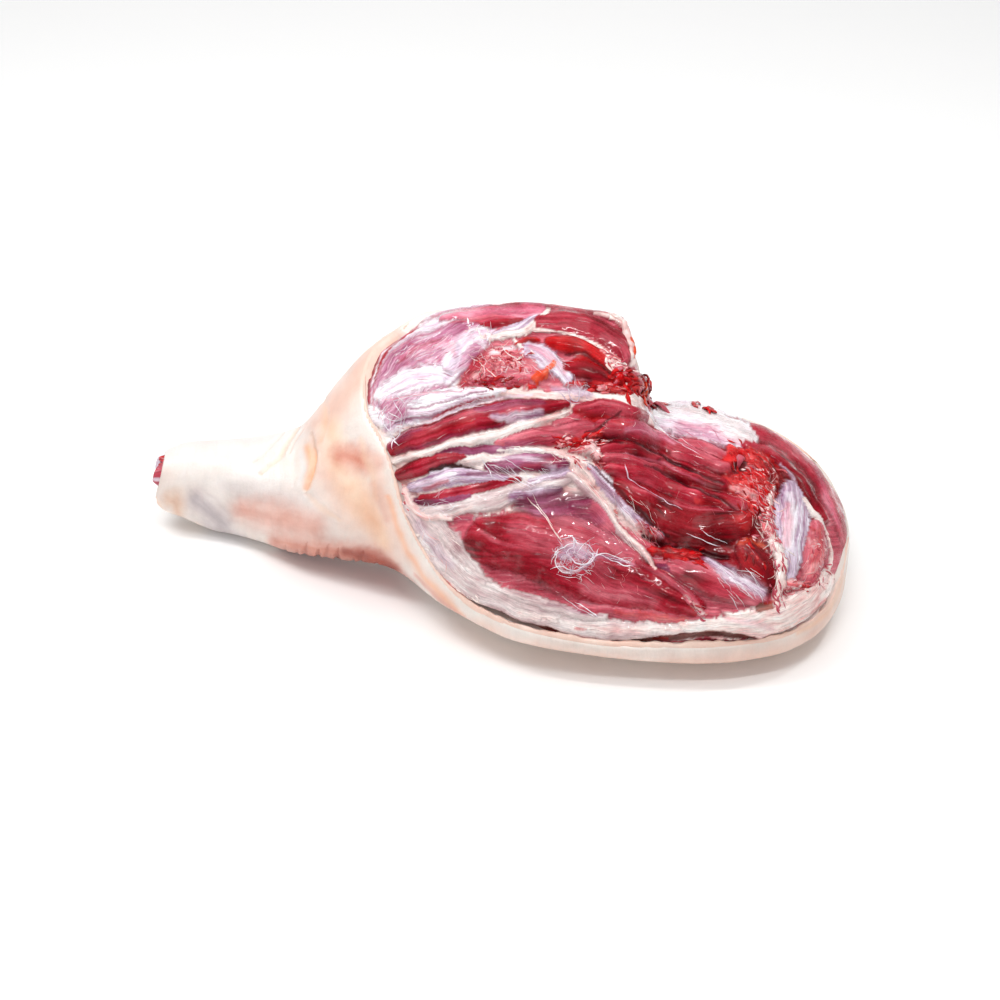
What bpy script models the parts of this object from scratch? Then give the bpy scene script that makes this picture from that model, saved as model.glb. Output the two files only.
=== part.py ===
"""Raw pork leg, bone in and skin on, cut off at the hock: one closed solid.

The leg lies on its skin with the cut meat up. +X runs from the hock to the rump end,
-Y is the near rim, +Z is up, and the origin is the bottom centre of the whole box.

The body is lofted from cross-sections that stand square to X. The muscles, the cut edge of
the skin, the seams and the cut hock are relief, pushed out of or into that body along its
normals. They are placed by length along the leg and by height on a plane that faces the cut
meat, called the butcher's plane here.
"""

import math
from dataclasses import dataclass

import bmesh
import bpy
import numpy as np

# ---- driving dimensions, in millimetres --------------------------------------------------
MM = 0.001
LENGTH = 570.0
HALF_LENGTH = LENGTH / 2
KNEE_X = -110.0                      # where the shank ends and the thick part starts
PLANE_TILT = math.radians(36.0)      # the cut meat faces this far above the near side
REST_DEPTH = 4.0                     # how much of the underside is pressed flat

# The skin's cut edge and the meat inside it.
SKIN_RISE = 1.75                     # the skin's cut edge stands this far out of the outline
SKIN_STEP = 6.0                      # width of the step from the skin down to the meat
MEAT_DROP = 1.0                      # the meat lies this far inside the outline
SEAM_DEPTH = 4.0                     # bottom of the seams, below the meat
FAR_EDGE = 0.765                     # where round a cross-section the meat ends, past the crest
FAR_SPREAD = 400.0                   # length round the meat's end of an average cross-section
WRINKLE_HEIGHT = 0.7                 # of the skin's wrinkles at the knee
WRINKLE_PITCH = 15.0                 # from one wrinkle to the next
WRINKLE_X = -150.0                   # middle of the wrinkled stretch
WRINKLE_SPREAD = 45.0                # and how far it reaches

# The hock, where the foot was taken off at the joint.
HOCK_LEAN_START = -235.0             # where the shank starts to give way to the leaning cut
HOCK_CENTRE_Z = 44.0                 # height about which the cut leans
HOCK_SLANT = 0.26                    # the cut leans back by this much in height
HOCK_BULGE = 9.0                     # the joint end of the bone, out of the cut
HOCK_LIP = ((0.93, 1.0), (0.80, -2.5), (0.60, 0.0), (0.36, 5.6), (0.16, 8.6))
END_FADE = 24.0                      # the relief dies away this close to the two ends
GROUND_FADE = 8.0                    # and this close to the ground

# The mesh.
RINGS_SHANK = 20                     # cross-sections over the shank
RINGS_MEAT = 60                      # cross-sections over the thick part
RUMP_CLOSING = 0.28                  # how much closer the cross-sections stand at the rump end
POINTS_ROUND = 69                    # points round each cross-section
TURN_SHARPNESS = 0.8                 # how closely the outline's turning points are found
EVENING_PASSES = 1                   # how often the relief is evened out over the mesh
SWELL_POWER = 0.75                   # how round a muscle's back is

# Where round a cross-section its four quarters start: under the near rim, up the near face,
# over the crest, down the far side.
QUARTER_STARTS = (0.0, 0.11, 0.72, 0.86, 1.0)
UNDER_NEAR_POWER = 2.4
OVER_FAR_POWER = 2.0
UNDER_FAR_POWER = 2.2
QUARTER_STEPS = 48

PORK_COLOUR = (0.47, 0.14, 0.13, 1.0)
PORK_ROUGHNESS = 0.38


@dataclass(frozen=True)
class Section:
    """One cross-section: where it is, its outermost points and its highest and lowest."""

    place: str
    x: float
    near: float
    far: float
    crest_y: float
    crest_z: float
    waist_z: float
    foot_z: float
    face_power: float


SECTIONS = (
    Section("hock cut", -285, 40, 84, 63, 68, 44, 22, 2.0),
    Section("hock", -264, 38, 94, 63, 72, 42, 15, 2.0),
    Section("shank", -226, 29, 100, 63, 73, 38, 0, 2.0),
    Section("shank root", -193, 10, 103, 63, 76, 38, 0, 2.0),
    Section("calf", -163, -12, 107, 60, 85, 43, 0, 2.0),
    Section("knee", -126, -29, 123, 65, 131, 53, 0, 1.9),
    Section("flare", -87, -46, 138, 73, 167, 60, 0, 1.8),
    Section("dome start", -39, -97, 147, 77, 194, 52, 0, 1.6),
    Section("dome top", 19, -133, 151, 79, 201, 38, 0, 1.42),
    Section("dome back", 77, -145, 150, 76, 195, 32, 0, 1.30),
    Section("dome brink", 104, -148, 149, 70, 189, 30, 0, 1.26),
    Section("dome end", 117, -149, 145, 55, 152, 29, 0, 1.58),
    Section("notch", 128, -149, 141, 42, 115, 28, 0, 2.05),
    Section("saddle", 160, -150, 132, 17, 127, 28, 0, 1.85),
    Section("rump", 212, -140, 116, 0, 113, 29, 0, 1.9),
    Section("rump side", 244, -120, 99, -3, 92, 30, 2, 2.0),
    Section("rump turn", 271, -74, 70, -4, 65, 30, 7, 2.0),
    Section("rump end", 285, -15, 28, 2, 43, 30, 20, 2.0),
)


@dataclass(frozen=True)
class Stroke:
    """A muscle or a groove: a path on the butcher's plane, its half widths and its height."""

    name: str
    path: tuple
    half_widths: tuple
    height: float


MUSCLES = (
    Stroke("knee cap sheet", ((-74, 138), (-56, 158), (-30, 178)), (26, 30, 20), 6.5),
    Stroke("silver sheet", ((-92, 122), (-50, 128), (0, 134)), (8, 12, 4), 4.5),
    Stroke("top band", ((-70, 184), (-30, 198), (20, 203)), (5, 10, 6), 4.5),
    Stroke("thigh wedge", ((36, 193), (68, 192), (98, 172)), (9, 15, 11), 6.5),
    Stroke("torn patch", ((-24, 148), (0, 160), (28, 158)), (7, 16, 15), 3.0),
    Stroke("dark lobe, upper", ((46, 176), (64, 175), (82, 164)), (4, 6, 4), 5.5),
    Stroke("dark lobe, lower", ((54, 157), (70, 156), (88, 150)), (9, 10, 5), 6.0),
    Stroke("ragged tuft", ((92, 147), (106, 151), (120, 144)), (7, 9, 6), 7.0),
    Stroke("joint fat", ((-10, 139), (40, 138), (84, 133), (116, 126)), (2, 5, 5, 4), 3.5),
    Stroke("long band", ((-76, 94), (-36, 108), (6, 120), (46, 127)), (7, 10, 9, 4), 6.5),
    Stroke("long seam fat", ((-76, 84), (-36, 96), (0, 104), (36, 115)), (2, 3, 3, 1.5), 3.8),
    Stroke("pink fan", ((-30, 92), (20, 99), (64, 105)), (2, 8, 13), 5.0),
    Stroke("red stub", ((-76, 75), (-54, 81), (-24, 86)), (5, 8, 3), 6.0),
    Stroke("silver string", ((-62, 66), (-36, 71), (4, 71)), (5, 8, 3), 5.0),
    Stroke("low strip", ((-66, 55), (-40, 58), (-16, 62)), (3, 5, 3), 3.5),
    Stroke("purple band", ((-2, 78), (24, 83), (54, 82)), (6, 9, 9), 5.0),
    Stroke("membrane", ((-62, 45), (-24, 50), (16, 60), (52, 71)), (6, 8, 8, 5), 4.0),
    Stroke("great muscle", ((-6, 22), (46, 16), (94, -6), (150, -28)), (20, 34, 28, 12), 9.0),
    Stroke("cream seam", ((62, 76), (82, 52), (104, 24), (122, 4)), (3, 4, 4, 3), 6.0),
    Stroke("grey strip", ((74, 77), (94, 56), (118, 34)), (5, 7, 5), 5.0),
    Stroke("upper lobe", ((66, 124), (90, 127), (114, 119)), (7, 9, 6), 6.0),
    Stroke("strap lobe", ((84, 110), (112, 109), (146, 93), (180, 80)), (8, 10, 9, 5), 6.5),
    Stroke("middle lobe", ((84, 94), (112, 96), (146, 78), (180, 66)), (5, 7, 8, 6), 6.0),
    Stroke("inner lobe", ((88, 80), (114, 80), (148, 63), (186, 52)), (6, 9, 9, 6), 6.5),
    Stroke("lower lobe", ((98, 62), (124, 46), (152, 36), (186, 38)), (11, 17, 17, 11), 8.0),
    Stroke("white sheet", ((134, 122), (160, 116), (196, 108)), (9, 16, 10), 5.0),
    Stroke("sheet lens", ((146, 103), (166, 97), (186, 88)), (3, 5, 3), 4.5),
    Stroke("red knuckle", ((192, 90), (206, 72), (200, 52)), (10, 16, 12), 5.5),
    Stroke("outer strap", ((214, 110), (246, 88), (268, 58), (278, 20)), (7, 8, 8, 7), 6.0),
    Stroke("inner strap", ((204, 98), (232, 84), (250, 58), (262, 34)), (5, 7, 7, 4), 5.5),
    Stroke("blue fascia", ((228, 56), (234, 36), (230, 10)), (7, 8, 6), 5.0),
    Stroke("round muscle", ((250, 26), (248, 8), (244, -6)), (11, 14, 9), 6.5),
    Stroke("red lumps", ((192, 16), (200, 2), (208, -12)), (9, 12, 7), 6.0),
    Stroke("streaked muscle", ((140, 2), (168, -4), (200, -20)), (9, 14, 8), 5.5),
    Stroke("pink band", ((70, -30), (116, -33), (164, -35)), (4, 8, 6), 5.0),
    Stroke("rim fat, left", ((-68, 40), (-44, 4), (-6, -22), (44, -38)), (8, 14, 12, 10), 6.0),
    Stroke("rim fat, middle", ((44, -38), (96, -48), (150, -48)), (10, 9, 8), 6.0),
    Stroke("rim fat, right", ((150, -46), (196, -42), (238, -28), (256, -8)), (8, 12, 16, 10), 6.5),
)

GROOVES = (
    Stroke("string gap", ((-44, 78), (-28, 80), (-8, 76)), (2, 3.5, 2), 4.0),
    Stroke("rim slit, left", ((-16, -29), (10, -39), (40, -47)), (3, 5, 3), 5.0),
    Stroke("rim slit, middle", ((108, -56), (146, -52), (190, -52)), (3, 4, 3), 5.0),
    Stroke("lower lobe crease", ((112, 30), (138, 17), (176, 12)), (3, 4, 3), 4.0),
    Stroke("vessel gap", ((72, 100), (86, 97), (102, 94)), (3, 4, 2), 3.5),
    Stroke("joint hole", ((190, 77), (196, 76)), (5, 5), 5.0),
    Stroke("calf crease", ((-150, 94), (-148, 78), (-150, 66)), (3, 4, 3), 1.5),
)

# The cut edge of the skin, seen from the cut side: from the crest at the knee round the near
# rim to the rump end.
SKIN_EDGE = (
    (-72, 190), (-92, 172), (-101, 146), (-99, 120), (-88, 98), (-81, 76), (-74, 50),
    (-60, 20), (-40, -10), (-14, -32), (28, -48), (80, -57), (130, -59), (180, -58),
    (226, -50), (258, -30), (272, -4), (281, 24),
)


def through(knots_x, knots_y, x):
    """A smooth line through the knots that makes no bump between two of them.

    The slope at an inner knot is the harmonic mean of the slopes on its two sides, or none
    where the line turns, and each stretch is a cubic between its two ends.
    """
    knots_x = np.asarray(knots_x, dtype=float)
    knots_y = np.asarray(knots_y, dtype=float)
    slopes = np.diff(knots_y) / np.diff(knots_x)
    tangents = np.empty_like(knots_y)
    tangents[0] = slopes[0]
    tangents[-1] = slopes[-1]
    left, right = slopes[:-1], slopes[1:]
    rising = left * right > 0
    total = np.where(rising, left + right, 1.0)
    tangents[1:-1] = np.where(rising, 2.0 * left * right / total, 0.0)
    x = np.clip(x, knots_x[0], knots_x[-1])
    span = np.clip(np.searchsorted(knots_x, x) - 1, 0, len(knots_x) - 2)
    width = knots_x[span + 1] - knots_x[span]
    t = (x - knots_x[span]) / width
    rise = knots_y[span] * (2 * t**3 - 3 * t**2 + 1) + knots_y[span + 1] * (3 * t**2 - 2 * t**3)
    bend = tangents[span] * (t**3 - 2 * t**2 + t) + tangents[span + 1] * (t**3 - t**2)
    return rise + width * bend


def ring_places():
    """X of every cross-section: even over the shank and the thick part, close at the ends."""
    shank = np.linspace(0.0, 1.0, RINGS_SHANK, endpoint=False)
    shank = -HALF_LENGTH + (KNEE_X + HALF_LENGTH) * shank
    turn = np.linspace(0.0, 1.0, RINGS_MEAT)
    eased = (1.0 - RUMP_CLOSING) * turn + RUMP_CLOSING * np.sin(turn * math.pi / 2)
    return np.concatenate([shank, KNEE_X + (HALF_LENGTH - KNEE_X) * eased])


def outline(section, rounds):
    """Y and Z of one cross-section at the given fractions round it.

    Each quarter is a superellipse between its two outermost points, and its points are
    spread evenly by length. The underside is pressed flat on the ground.
    """
    near, far, crest_y, crest_z, waist_z, foot_z, face_power = section
    near_width, far_width = crest_y - near, far - crest_y
    top_height, low_height = crest_z - waist_z, waist_z - foot_z + REST_DEPTH
    quarters = (
        (near_width, low_height, UNDER_NEAR_POWER, -1, -1, True),
        (near_width, top_height, face_power, -1, 1, False),
        (far_width, top_height, OVER_FAR_POWER, 1, 1, True),
        (far_width, low_height, UNDER_FAR_POWER, 1, -1, False),
    )
    y, z = np.empty_like(rounds), np.empty_like(rounds)
    angles = np.linspace(0.0, math.pi / 2, QUARTER_STEPS)
    for quarter, (width, height, power, side, up, from_pole) in enumerate(quarters):
        cosine = np.cos(angles).clip(0.0) ** (2.0 / power)
        sine = np.sin(angles) ** (2.0 / power)
        across, along = (sine, cosine) if from_pole else (cosine, sine)
        curve_y = crest_y + side * width * across
        curve_z = waist_z + up * height * along
        lengths = np.concatenate([[0.0], np.cumsum(np.hypot(np.diff(curve_y), np.diff(curve_z)))])
        start, end = QUARTER_STARTS[quarter], QUARTER_STARTS[quarter + 1]
        here = (rounds >= start) & (rounds < end)
        wanted = (rounds[here] - start) / (end - start) * lengths[-1]
        y[here] = np.interp(wanted, lengths, curve_y)
        z[here] = np.interp(wanted, lengths, curve_z)
    return y, np.maximum(z, 0.0)


def body_rings():
    """The plain body as rings of points: an array of cross-sections by points by XYZ."""
    places = ring_places()
    knots = [[getattr(section, side) for section in SECTIONS]
             for side in ("x", "near", "far", "crest_y", "crest_z", "waist_z", "foot_z",
                          "face_power")]
    sides = np.stack([through(knots[0], column, places) for column in knots[1:]], axis=1)
    rounds = np.arange(POINTS_ROUND) / POINTS_ROUND
    rings = np.empty((len(places), POINTS_ROUND, 3))
    for ring, place, section in zip(rings, places, sides):
        ring[:, 0] = place
        ring[:, 1], ring[:, 2] = outline(section, rounds)
    return rings


def ring_normals(rings):
    """Outward normals of the body, from the steps round each ring and from ring to ring."""
    around = np.roll(rings, -1, axis=1) - np.roll(rings, 1, axis=1)
    along = np.gradient(rings, axis=0)
    normals = np.cross(along, around)
    return normals / (np.linalg.norm(normals, axis=2, keepdims=True) + 1e-9)


def length_at_turn(walked, height, sharpness):
    """Length round each ring to its highest point, or to its lowest for a negative sharpness.

    It is the mean of the lengths, weighted by how near each point is to that height, so that
    it moves evenly from ring to ring.
    """
    weights = height * sharpness
    weights = np.exp(weights - weights.max(axis=1, keepdims=True))
    return (walked * weights).sum(axis=1, keepdims=True) / weights.sum(axis=1, keepdims=True)


def plane_height(rings):
    """Height of every point on the butcher's plane, unrolled past the crest and the rim.

    Between the lowest and the highest point that the cut side shows, it is the height on
    the plane. Past either of them it goes on by the length over the surface.
    """
    height = rings[:, :, 1] * math.sin(PLANE_TILT) + rings[:, :, 2] * math.cos(PLANE_TILT)
    steps = np.linalg.norm(np.diff(rings, axis=1), axis=2)
    walked = np.concatenate([np.zeros((len(rings), 1)), np.cumsum(steps, axis=1)], axis=1)
    near_side = np.arange(POINTS_ROUND) / POINTS_ROUND < QUARTER_STARTS[2]
    near_only = np.where(near_side[None, :], height, height.max())
    walked_top = length_at_turn(walked, height, TURN_SHARPNESS)
    walked_low = length_at_turn(walked, near_only, -TURN_SHARPNESS)
    top_height = height.max(axis=1, keepdims=True)
    low_height = near_only.min(axis=1, keepdims=True)
    height = np.where(walked > walked_top, top_height + walked - walked_top, height)
    return np.where(walked < walked_low, low_height - walked_low + walked, height)


def near_path(path, values, x, height):
    """Distance of each point from a path, and the path's value where it is closest."""
    closest = np.full(x.shape, np.inf)
    value = np.zeros(x.shape)
    for (x0, h0), (x1, h1), v0, v1 in zip(path[:-1], path[1:], values[:-1], values[1:]):
        span_x, span_h = x1 - x0, h1 - h0
        share = ((x - x0) * span_x + (height - h0) * span_h) / (span_x**2 + span_h**2)
        share = share.clip(0.0, 1.0)
        distance = np.hypot(x - x0 - share * span_x, height - h0 - share * span_h)
        nearer = distance < closest
        closest = np.where(nearer, distance, closest)
        value = np.where(nearer, v0 + share * (v1 - v0), value)
    return closest, value


def swell(stroke, x, height):
    """The round rise of one stroke: full on its path, nothing at its half width."""
    distance, half_width = near_path(stroke.path, stroke.half_widths, x, height)
    return stroke.height * (1.0 - (distance / half_width) ** 2).clip(0.0) ** SWELL_POWER


def smooth_step(value):
    """Nothing below 0, one above 1, and a soft S between."""
    value = value.clip(0.0, 1.0)
    return value * value * (3.0 - 2.0 * value)


def inside_skin_edge(x, height):
    """Distance inside the skin's cut edge, positive on the meat and negative on the skin."""
    edge = np.asarray(SKIN_EDGE, dtype=float)
    distance, _ = near_path(SKIN_EDGE, (0.0,) * len(SKIN_EDGE), x, height)
    crossings = np.zeros(x.shape, dtype=int)
    top = 1000.0
    corners = np.concatenate([edge, [[HALF_LENGTH + 1.0, top], [edge[0, 0], top]]])
    for (x0, h0), (x1, h1) in zip(corners, np.roll(corners, -1, axis=0)):
        spans = (h0 > height) != (h1 > height)
        rise = np.where(spans, h1 - h0, 1.0)
        crossings += spans & (x < x0 + (height - h0) * (x1 - x0) / rise)
    signed = np.where(crossings % 2 == 1, distance, -distance)
    around = np.arange(POINTS_ROUND) / POINTS_ROUND
    return np.minimum(signed, (FAR_EDGE - around[None, :]) * FAR_SPREAD)


def settled(field):
    """A field over the rings, evened out with its neighbours round and along the leg."""
    for _ in range(EVENING_PASSES):
        around = (np.roll(field, 1, axis=1) + np.roll(field, -1, axis=1)) / 4.0
        field = field / 2.0 + around
        padded = np.concatenate([field[:1], field, field[-1:]])
        field = field / 2.0 + (padded[:-2] + padded[2:]) / 4.0
    return field


def relief(x, height):
    """How far each point of the body is pushed out, in millimetres.

    Inside the skin's edge it is the highest of the muscles over the bottom of the seams.
    The skin stands above the meat by its rim and runs out level behind it.
    """
    meat = np.full(x.shape, -SEAM_DEPTH)
    for muscle in MUSCLES:
        meat = np.maximum(meat, swell(muscle, x, height) - SEAM_DEPTH)
    inside = inside_skin_edge(x, height)
    on_meat = smooth_step(inside / SKIN_STEP)
    rim = SKIN_RISE * np.exp(-((inside + SKIN_STEP) / (2.0 * SKIN_STEP)) ** 2)
    wrinkles = WRINKLE_HEIGHT * np.sin(2.0 * math.pi * x / WRINKLE_PITCH)
    wrinkles = wrinkles * np.exp(-((x - WRINKLE_X) / WRINKLE_SPREAD) ** 2)
    pushed = on_meat * (meat - MEAT_DROP) + (1.0 - on_meat) * (rim + wrinkles)
    for groove in GROOVES:
        pushed = pushed - swell(groove, x, height)
    return pushed


def hock_cap(ring):
    """Rings that close the hock: a skin lip, a step down, then the bulging joint end.

    Each is the last cross-section at a share of its size, risen out of the cut.
    """
    centre = ring.mean(axis=0)
    across = ring - centre
    cap = []
    for share, rise in HOCK_LIP:
        circle = centre + across * share
        circle[:, 0] -= rise
        cap.append(circle)
    tip = centre.copy()
    tip[0] -= HOCK_BULGE
    return cap, tip


def shape_leg():
    """All rings of the finished leg, hock to rump, and the two closing points."""
    rings = body_rings()
    normals = ring_normals(rings)
    pushed = settled(relief(rings[:, :, 0], plane_height(rings)))
    off_ground = smooth_step(rings[:, :, 2] / GROUND_FADE)
    at_ends = smooth_step((HALF_LENGTH - np.abs(rings[:, :, 0])) / END_FADE)
    rings = rings + normals * (pushed * off_ground * at_ends)[:, :, None]
    rings[:, :, 2] = np.maximum(rings[:, :, 2], 0.0)
    lean = smooth_step((HOCK_LEAN_START - rings[:, :, 0]) / (HALF_LENGTH + HOCK_LEAN_START))
    rings[:, :, 0] += lean * (HOCK_BULGE + HOCK_SLANT * (rings[:, :, 2] - HOCK_CENTRE_Z))
    hock_rings, hock_tip = hock_cap(rings[0])
    rump_tip = rings[-1].mean(axis=0)
    rings = [*reversed(hock_rings), *rings]
    return rings, hock_tip, rump_tip


def solid_from_rings(name, rings, first_tip, last_tip):
    """A closed mesh object through the rings, with a fan of triangles at each tip."""
    shape = bmesh.new()
    loops = [[shape.verts.new(point * MM) for point in ring] for ring in rings]
    for ring, following in zip(loops[:-1], loops[1:]):
        for index in range(POINTS_ROUND):
            after = (index + 1) % POINTS_ROUND
            shape.faces.new((ring[index], ring[after], following[after], following[index]))
    for loop, tip, order in ((loops[0], first_tip, -1), (loops[-1], last_tip, 1)):
        point = shape.verts.new(tip * MM)
        for index in range(POINTS_ROUND):
            corners = (loop[index], loop[(index + 1) % POINTS_ROUND], point)
            shape.faces.new(corners[::order])
    bmesh.ops.triangulate(shape, faces=shape.faces[:], quad_method="SHORT_EDGE")
    bmesh.ops.recalc_face_normals(shape, faces=shape.faces[:])
    mesh = bpy.data.meshes.new(name)
    shape.to_mesh(mesh)
    shape.free()
    piece = bpy.data.objects.new(name, mesh)
    bpy.context.collection.objects.link(piece)
    return piece


def set_on_origin(rings, tips):
    """Move everything so that the bottom centre of the whole box is the origin."""
    points = np.concatenate([np.concatenate(rings), tips])
    lowest, highest = points.min(axis=0), points.max(axis=0)
    shift = -(lowest + highest) / 2
    shift[2] = -lowest[2]
    return [ring + shift for ring in rings], [tip + shift for tip in tips]


def pork_material():
    """Damp raw meat as one colour."""
    material = bpy.data.materials.new("pork")
    material.use_nodes = True
    shader = material.node_tree.nodes["Principled BSDF"]
    shader.inputs["Base Color"].default_value = PORK_COLOUR
    shader.inputs["Roughness"].default_value = PORK_ROUGHNESS
    shader.inputs["Metallic"].default_value = 0.0
    return material


def main():
    """Clear the scene and build the leg."""
    for leftover in list(bpy.data.objects):
        bpy.data.objects.remove(leftover, do_unlink=True)
    rings, hock_tip, rump_tip = shape_leg()
    rings, (hock_tip, rump_tip) = set_on_origin(rings, [hock_tip, rump_tip])
    leg = solid_from_rings("pork_leg", rings, hock_tip, rump_tip)
    leg.data.materials.append(pork_material())


main()
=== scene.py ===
"""Looks of a raw pork leg: cut meat, silverskin, fat, skin and the hock's joint end.

Everything is laid over one body, a loft of cross-sections along the leg. Muscles, seams and
tints are strokes placed by length along the leg and by height on the butcher's plane, which
faces the cut meat. Sizes are in millimetres and become metres when a mesh is made.
"""

import itertools
import logging
import math
from collections.abc import Callable
from dataclasses import astuple, dataclass
from enum import Enum

import bpy
import numpy as np
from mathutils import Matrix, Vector


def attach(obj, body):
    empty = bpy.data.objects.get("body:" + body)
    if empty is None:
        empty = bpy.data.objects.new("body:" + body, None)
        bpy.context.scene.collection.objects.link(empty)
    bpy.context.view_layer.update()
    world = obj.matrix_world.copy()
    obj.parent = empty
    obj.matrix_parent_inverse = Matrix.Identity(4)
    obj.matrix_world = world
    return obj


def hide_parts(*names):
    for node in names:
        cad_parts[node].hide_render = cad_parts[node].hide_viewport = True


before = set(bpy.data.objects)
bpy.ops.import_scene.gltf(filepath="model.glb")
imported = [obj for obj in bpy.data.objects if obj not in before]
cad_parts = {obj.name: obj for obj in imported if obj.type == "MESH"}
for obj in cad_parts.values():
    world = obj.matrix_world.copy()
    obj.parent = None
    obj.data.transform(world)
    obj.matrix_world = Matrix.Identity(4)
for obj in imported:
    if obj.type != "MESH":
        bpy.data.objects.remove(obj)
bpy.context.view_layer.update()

LOG = logging.getLogger("pork_leg")
MM = 0.001
CENTRING = (-0.448, 0.235, 0.0)
NODE = "pork_leg"
BODY = "root"

Array = np.ndarray
Material = bpy.types.Material
Colour = tuple[float, float, float]
Path = tuple[tuple[float, float], ...]

# ---- the body's driving dimensions, as in the part's own source, in millimetres
HALF_LENGTH = 285.0
PLANE_TILT = math.radians(36.0)
REST_DEPTH = 4.0
FAR_EDGE = 0.765
FAR_EDGE_DROP = 0.05
KNEE_EDGE_RISE = 0.028
FAR_SPREAD = 400.0
MEAT_DROP = 1.0
CROWN_TOP = 197.7
CROWN_EASE = 3.0
SKIN_DROP = 0.1
SEAM_DEPTH = 4.0
SKIN_RISE = 1.75
SKIN_STEP = 6.0
HOCK_LEAN_START = -235.0
HOCK_CENTRE_Z = 44.0
HOCK_SLANT = 0.26
HOCK_BULGE = 9.0
QUARTER_STARTS = (0.0, 0.11, 0.72, 0.86, 1.0)
UNDER_NEAR_POWER = 2.4
OVER_FAR_POWER = 2.0
UNDER_FAR_POWER = 2.2
QUARTER_STEPS = 48
TURN_SHARPNESS = 0.8
SETTLE_REACH = 15.0
SETTLE_START = 78.0
SETTLE_END = 190.0
SETTLE_TOP = 126.0
CURVE_STEPS = 6


# ---- tables: a row's parts stand between colons, and an indented line carries a row on
def table_rows(table: str) -> list[list[str]]:
    """Rows of a table, each as its parts. Lines that start with a hash are headings."""
    lines = table.strip().replace("\n ", " ").splitlines()
    return [line.split(": ") for line in lines if not line.startswith("#")]


def path_of(text: str) -> tuple[tuple[float, ...], ...]:
    """The points of a path, parted by commas."""
    return tuple(tuple(map(float, point.split())) for point in text.split(","))


@dataclass(frozen=True)
class Section:
    """One cross-section: where it is, its outermost points and its highest and lowest."""

    place: str
    x: float
    near: float
    far: float
    crest_y: float
    crest_z: float
    waist_z: float
    foot_z: float
    face_power: float


def sections(table: str) -> list[Section]:
    """Cross-sections, each row a name and the sizes in the order of their fields."""
    return [Section(name, *map(float, sizes.split())) for name, sizes in table_rows(table)]


SECTIONS = sections("""
hock cut: -285 40 84 63 68 44 22 2
hock: -264 38 94 63 72 42 15 2
shank: -226 29 100 63 73 38 0 2
shank root: -193 10 103 63 76 38 0 2
calf: -163 -12 107 60 85 43 0 2
knee: -126 -29 123 65 131 53 0 1.9
flare: -87 -46 138 73 167 60 0 1.8
dome start: -39 -97 147 77 194 52 0 1.6
dome top: 19 -133 151 79 201 38 0 1.42
dome back: 77 -145 150 76 195 32 0 1.3
dome brink: 104 -148 149 70 189 30 0 1.26
dome end: 117 -149 145 55 152 29 0 1.58
notch: 128 -149 141 42 115 28 0 2.05
saddle: 160 -150 132 17 127 28 0 1.85
rump: 212 -140 116 0 113 29 0 1.9
rump side: 244 -120 99 -3 92 30 2 2
rump turn: 271 -74 70 -4 65 30 7 2
rump end: 285 -15 28 2 43 30 20 2
""")

# The cut edge of the skin, from the crest at the knee round the near rim to the rump end.
SKIN_EDGE = path_of("""
-74 192,-91 181,-101 167,-105 148,-102 122,-89 98,-81 76,-74 50,-60 20,-40 -10,-14 -32,28 -48,
80 -57,130 -59,180 -58,226 -50,258 -30,272 -4,281 24
""")


def smooth_step(value: Array) -> Array:
    """Nothing below 0, one above 1, and a soft S between."""
    value = np.clip(value, 0.0, 1.0)
    return value * value * (3.0 - 2.0 * value)


def blend(first: Array, second: Array, share: Array) -> Array:
    """First where the share is 0, second where it is 1."""
    return first + (second - first) * share


def from_screen(red: float, green: float, blue: float) -> Colour:
    """A colour given as it looks on a screen, as light."""
    light = [(part / 255.0) for part in (red, green, blue)]
    return tuple(((v + 0.055) / 1.055) ** 2.4 if v > 0.04045 else v / 12.92 for v in light)


class Noise:
    """Smooth value noise on a lattice of seeded random numbers."""

    PRIMES = (73856093, 19349663, 83492791)
    SIZE = 1 << 16
    FADE = 0.5
    FINER = 2.03
    SHIFT = 17.3
    SPREAD = 1.6

    def __init__(self, seed: int) -> None:
        """Draw the lattice's values from a seed."""
        self.values = np.random.default_rng(seed).random(self.SIZE)

    def plain(self, *coordinates: Array) -> Array:
        """Noise from -1 to 1: the lattice's values, eased along every coordinate.

        Args:
            coordinates: two or three arrays, one lattice cell to a unit.

        Returns:
            The noise at each point.
        """
        cells = [np.floor(part).astype(np.int64) for part in coordinates]
        eased = [smooth_step(part - cell) for part, cell in zip(coordinates, cells)]
        total = 0.0
        for corner in itertools.product((0, 1), repeat=len(cells)):
            key = np.zeros_like(cells[0])
            weight = 1.0
            for bit, cell, share, prime in zip(corner, cells, eased, self.PRIMES):
                key = key ^ ((cell + bit) * prime)
                weight = weight * (share if bit else 1.0 - share)
            total = total + weight * self.values[key & (self.SIZE - 1)]
        return 2.0 * total - 1.0

    def layered(self, *coordinates: Array, octaves: int = 4) -> Array:
        """A sum of ever finer and weaker noise, from about -1 to 1.

        Args:
            coordinates: two or three arrays.
            octaves: how many layers.

        Returns:
            The noise at each point.
        """
        total, strength, scale, most = 0.0, 1.0, 1.0, 0.0
        for layer in range(octaves):
            places = (part * scale + self.SHIFT * layer for part in coordinates)
            total = total + strength * self.plain(*places)
            most += strength
            strength *= self.FADE
            scale *= self.FINER
        return total / most * self.SPREAD


NOISE = Noise(443)


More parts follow.
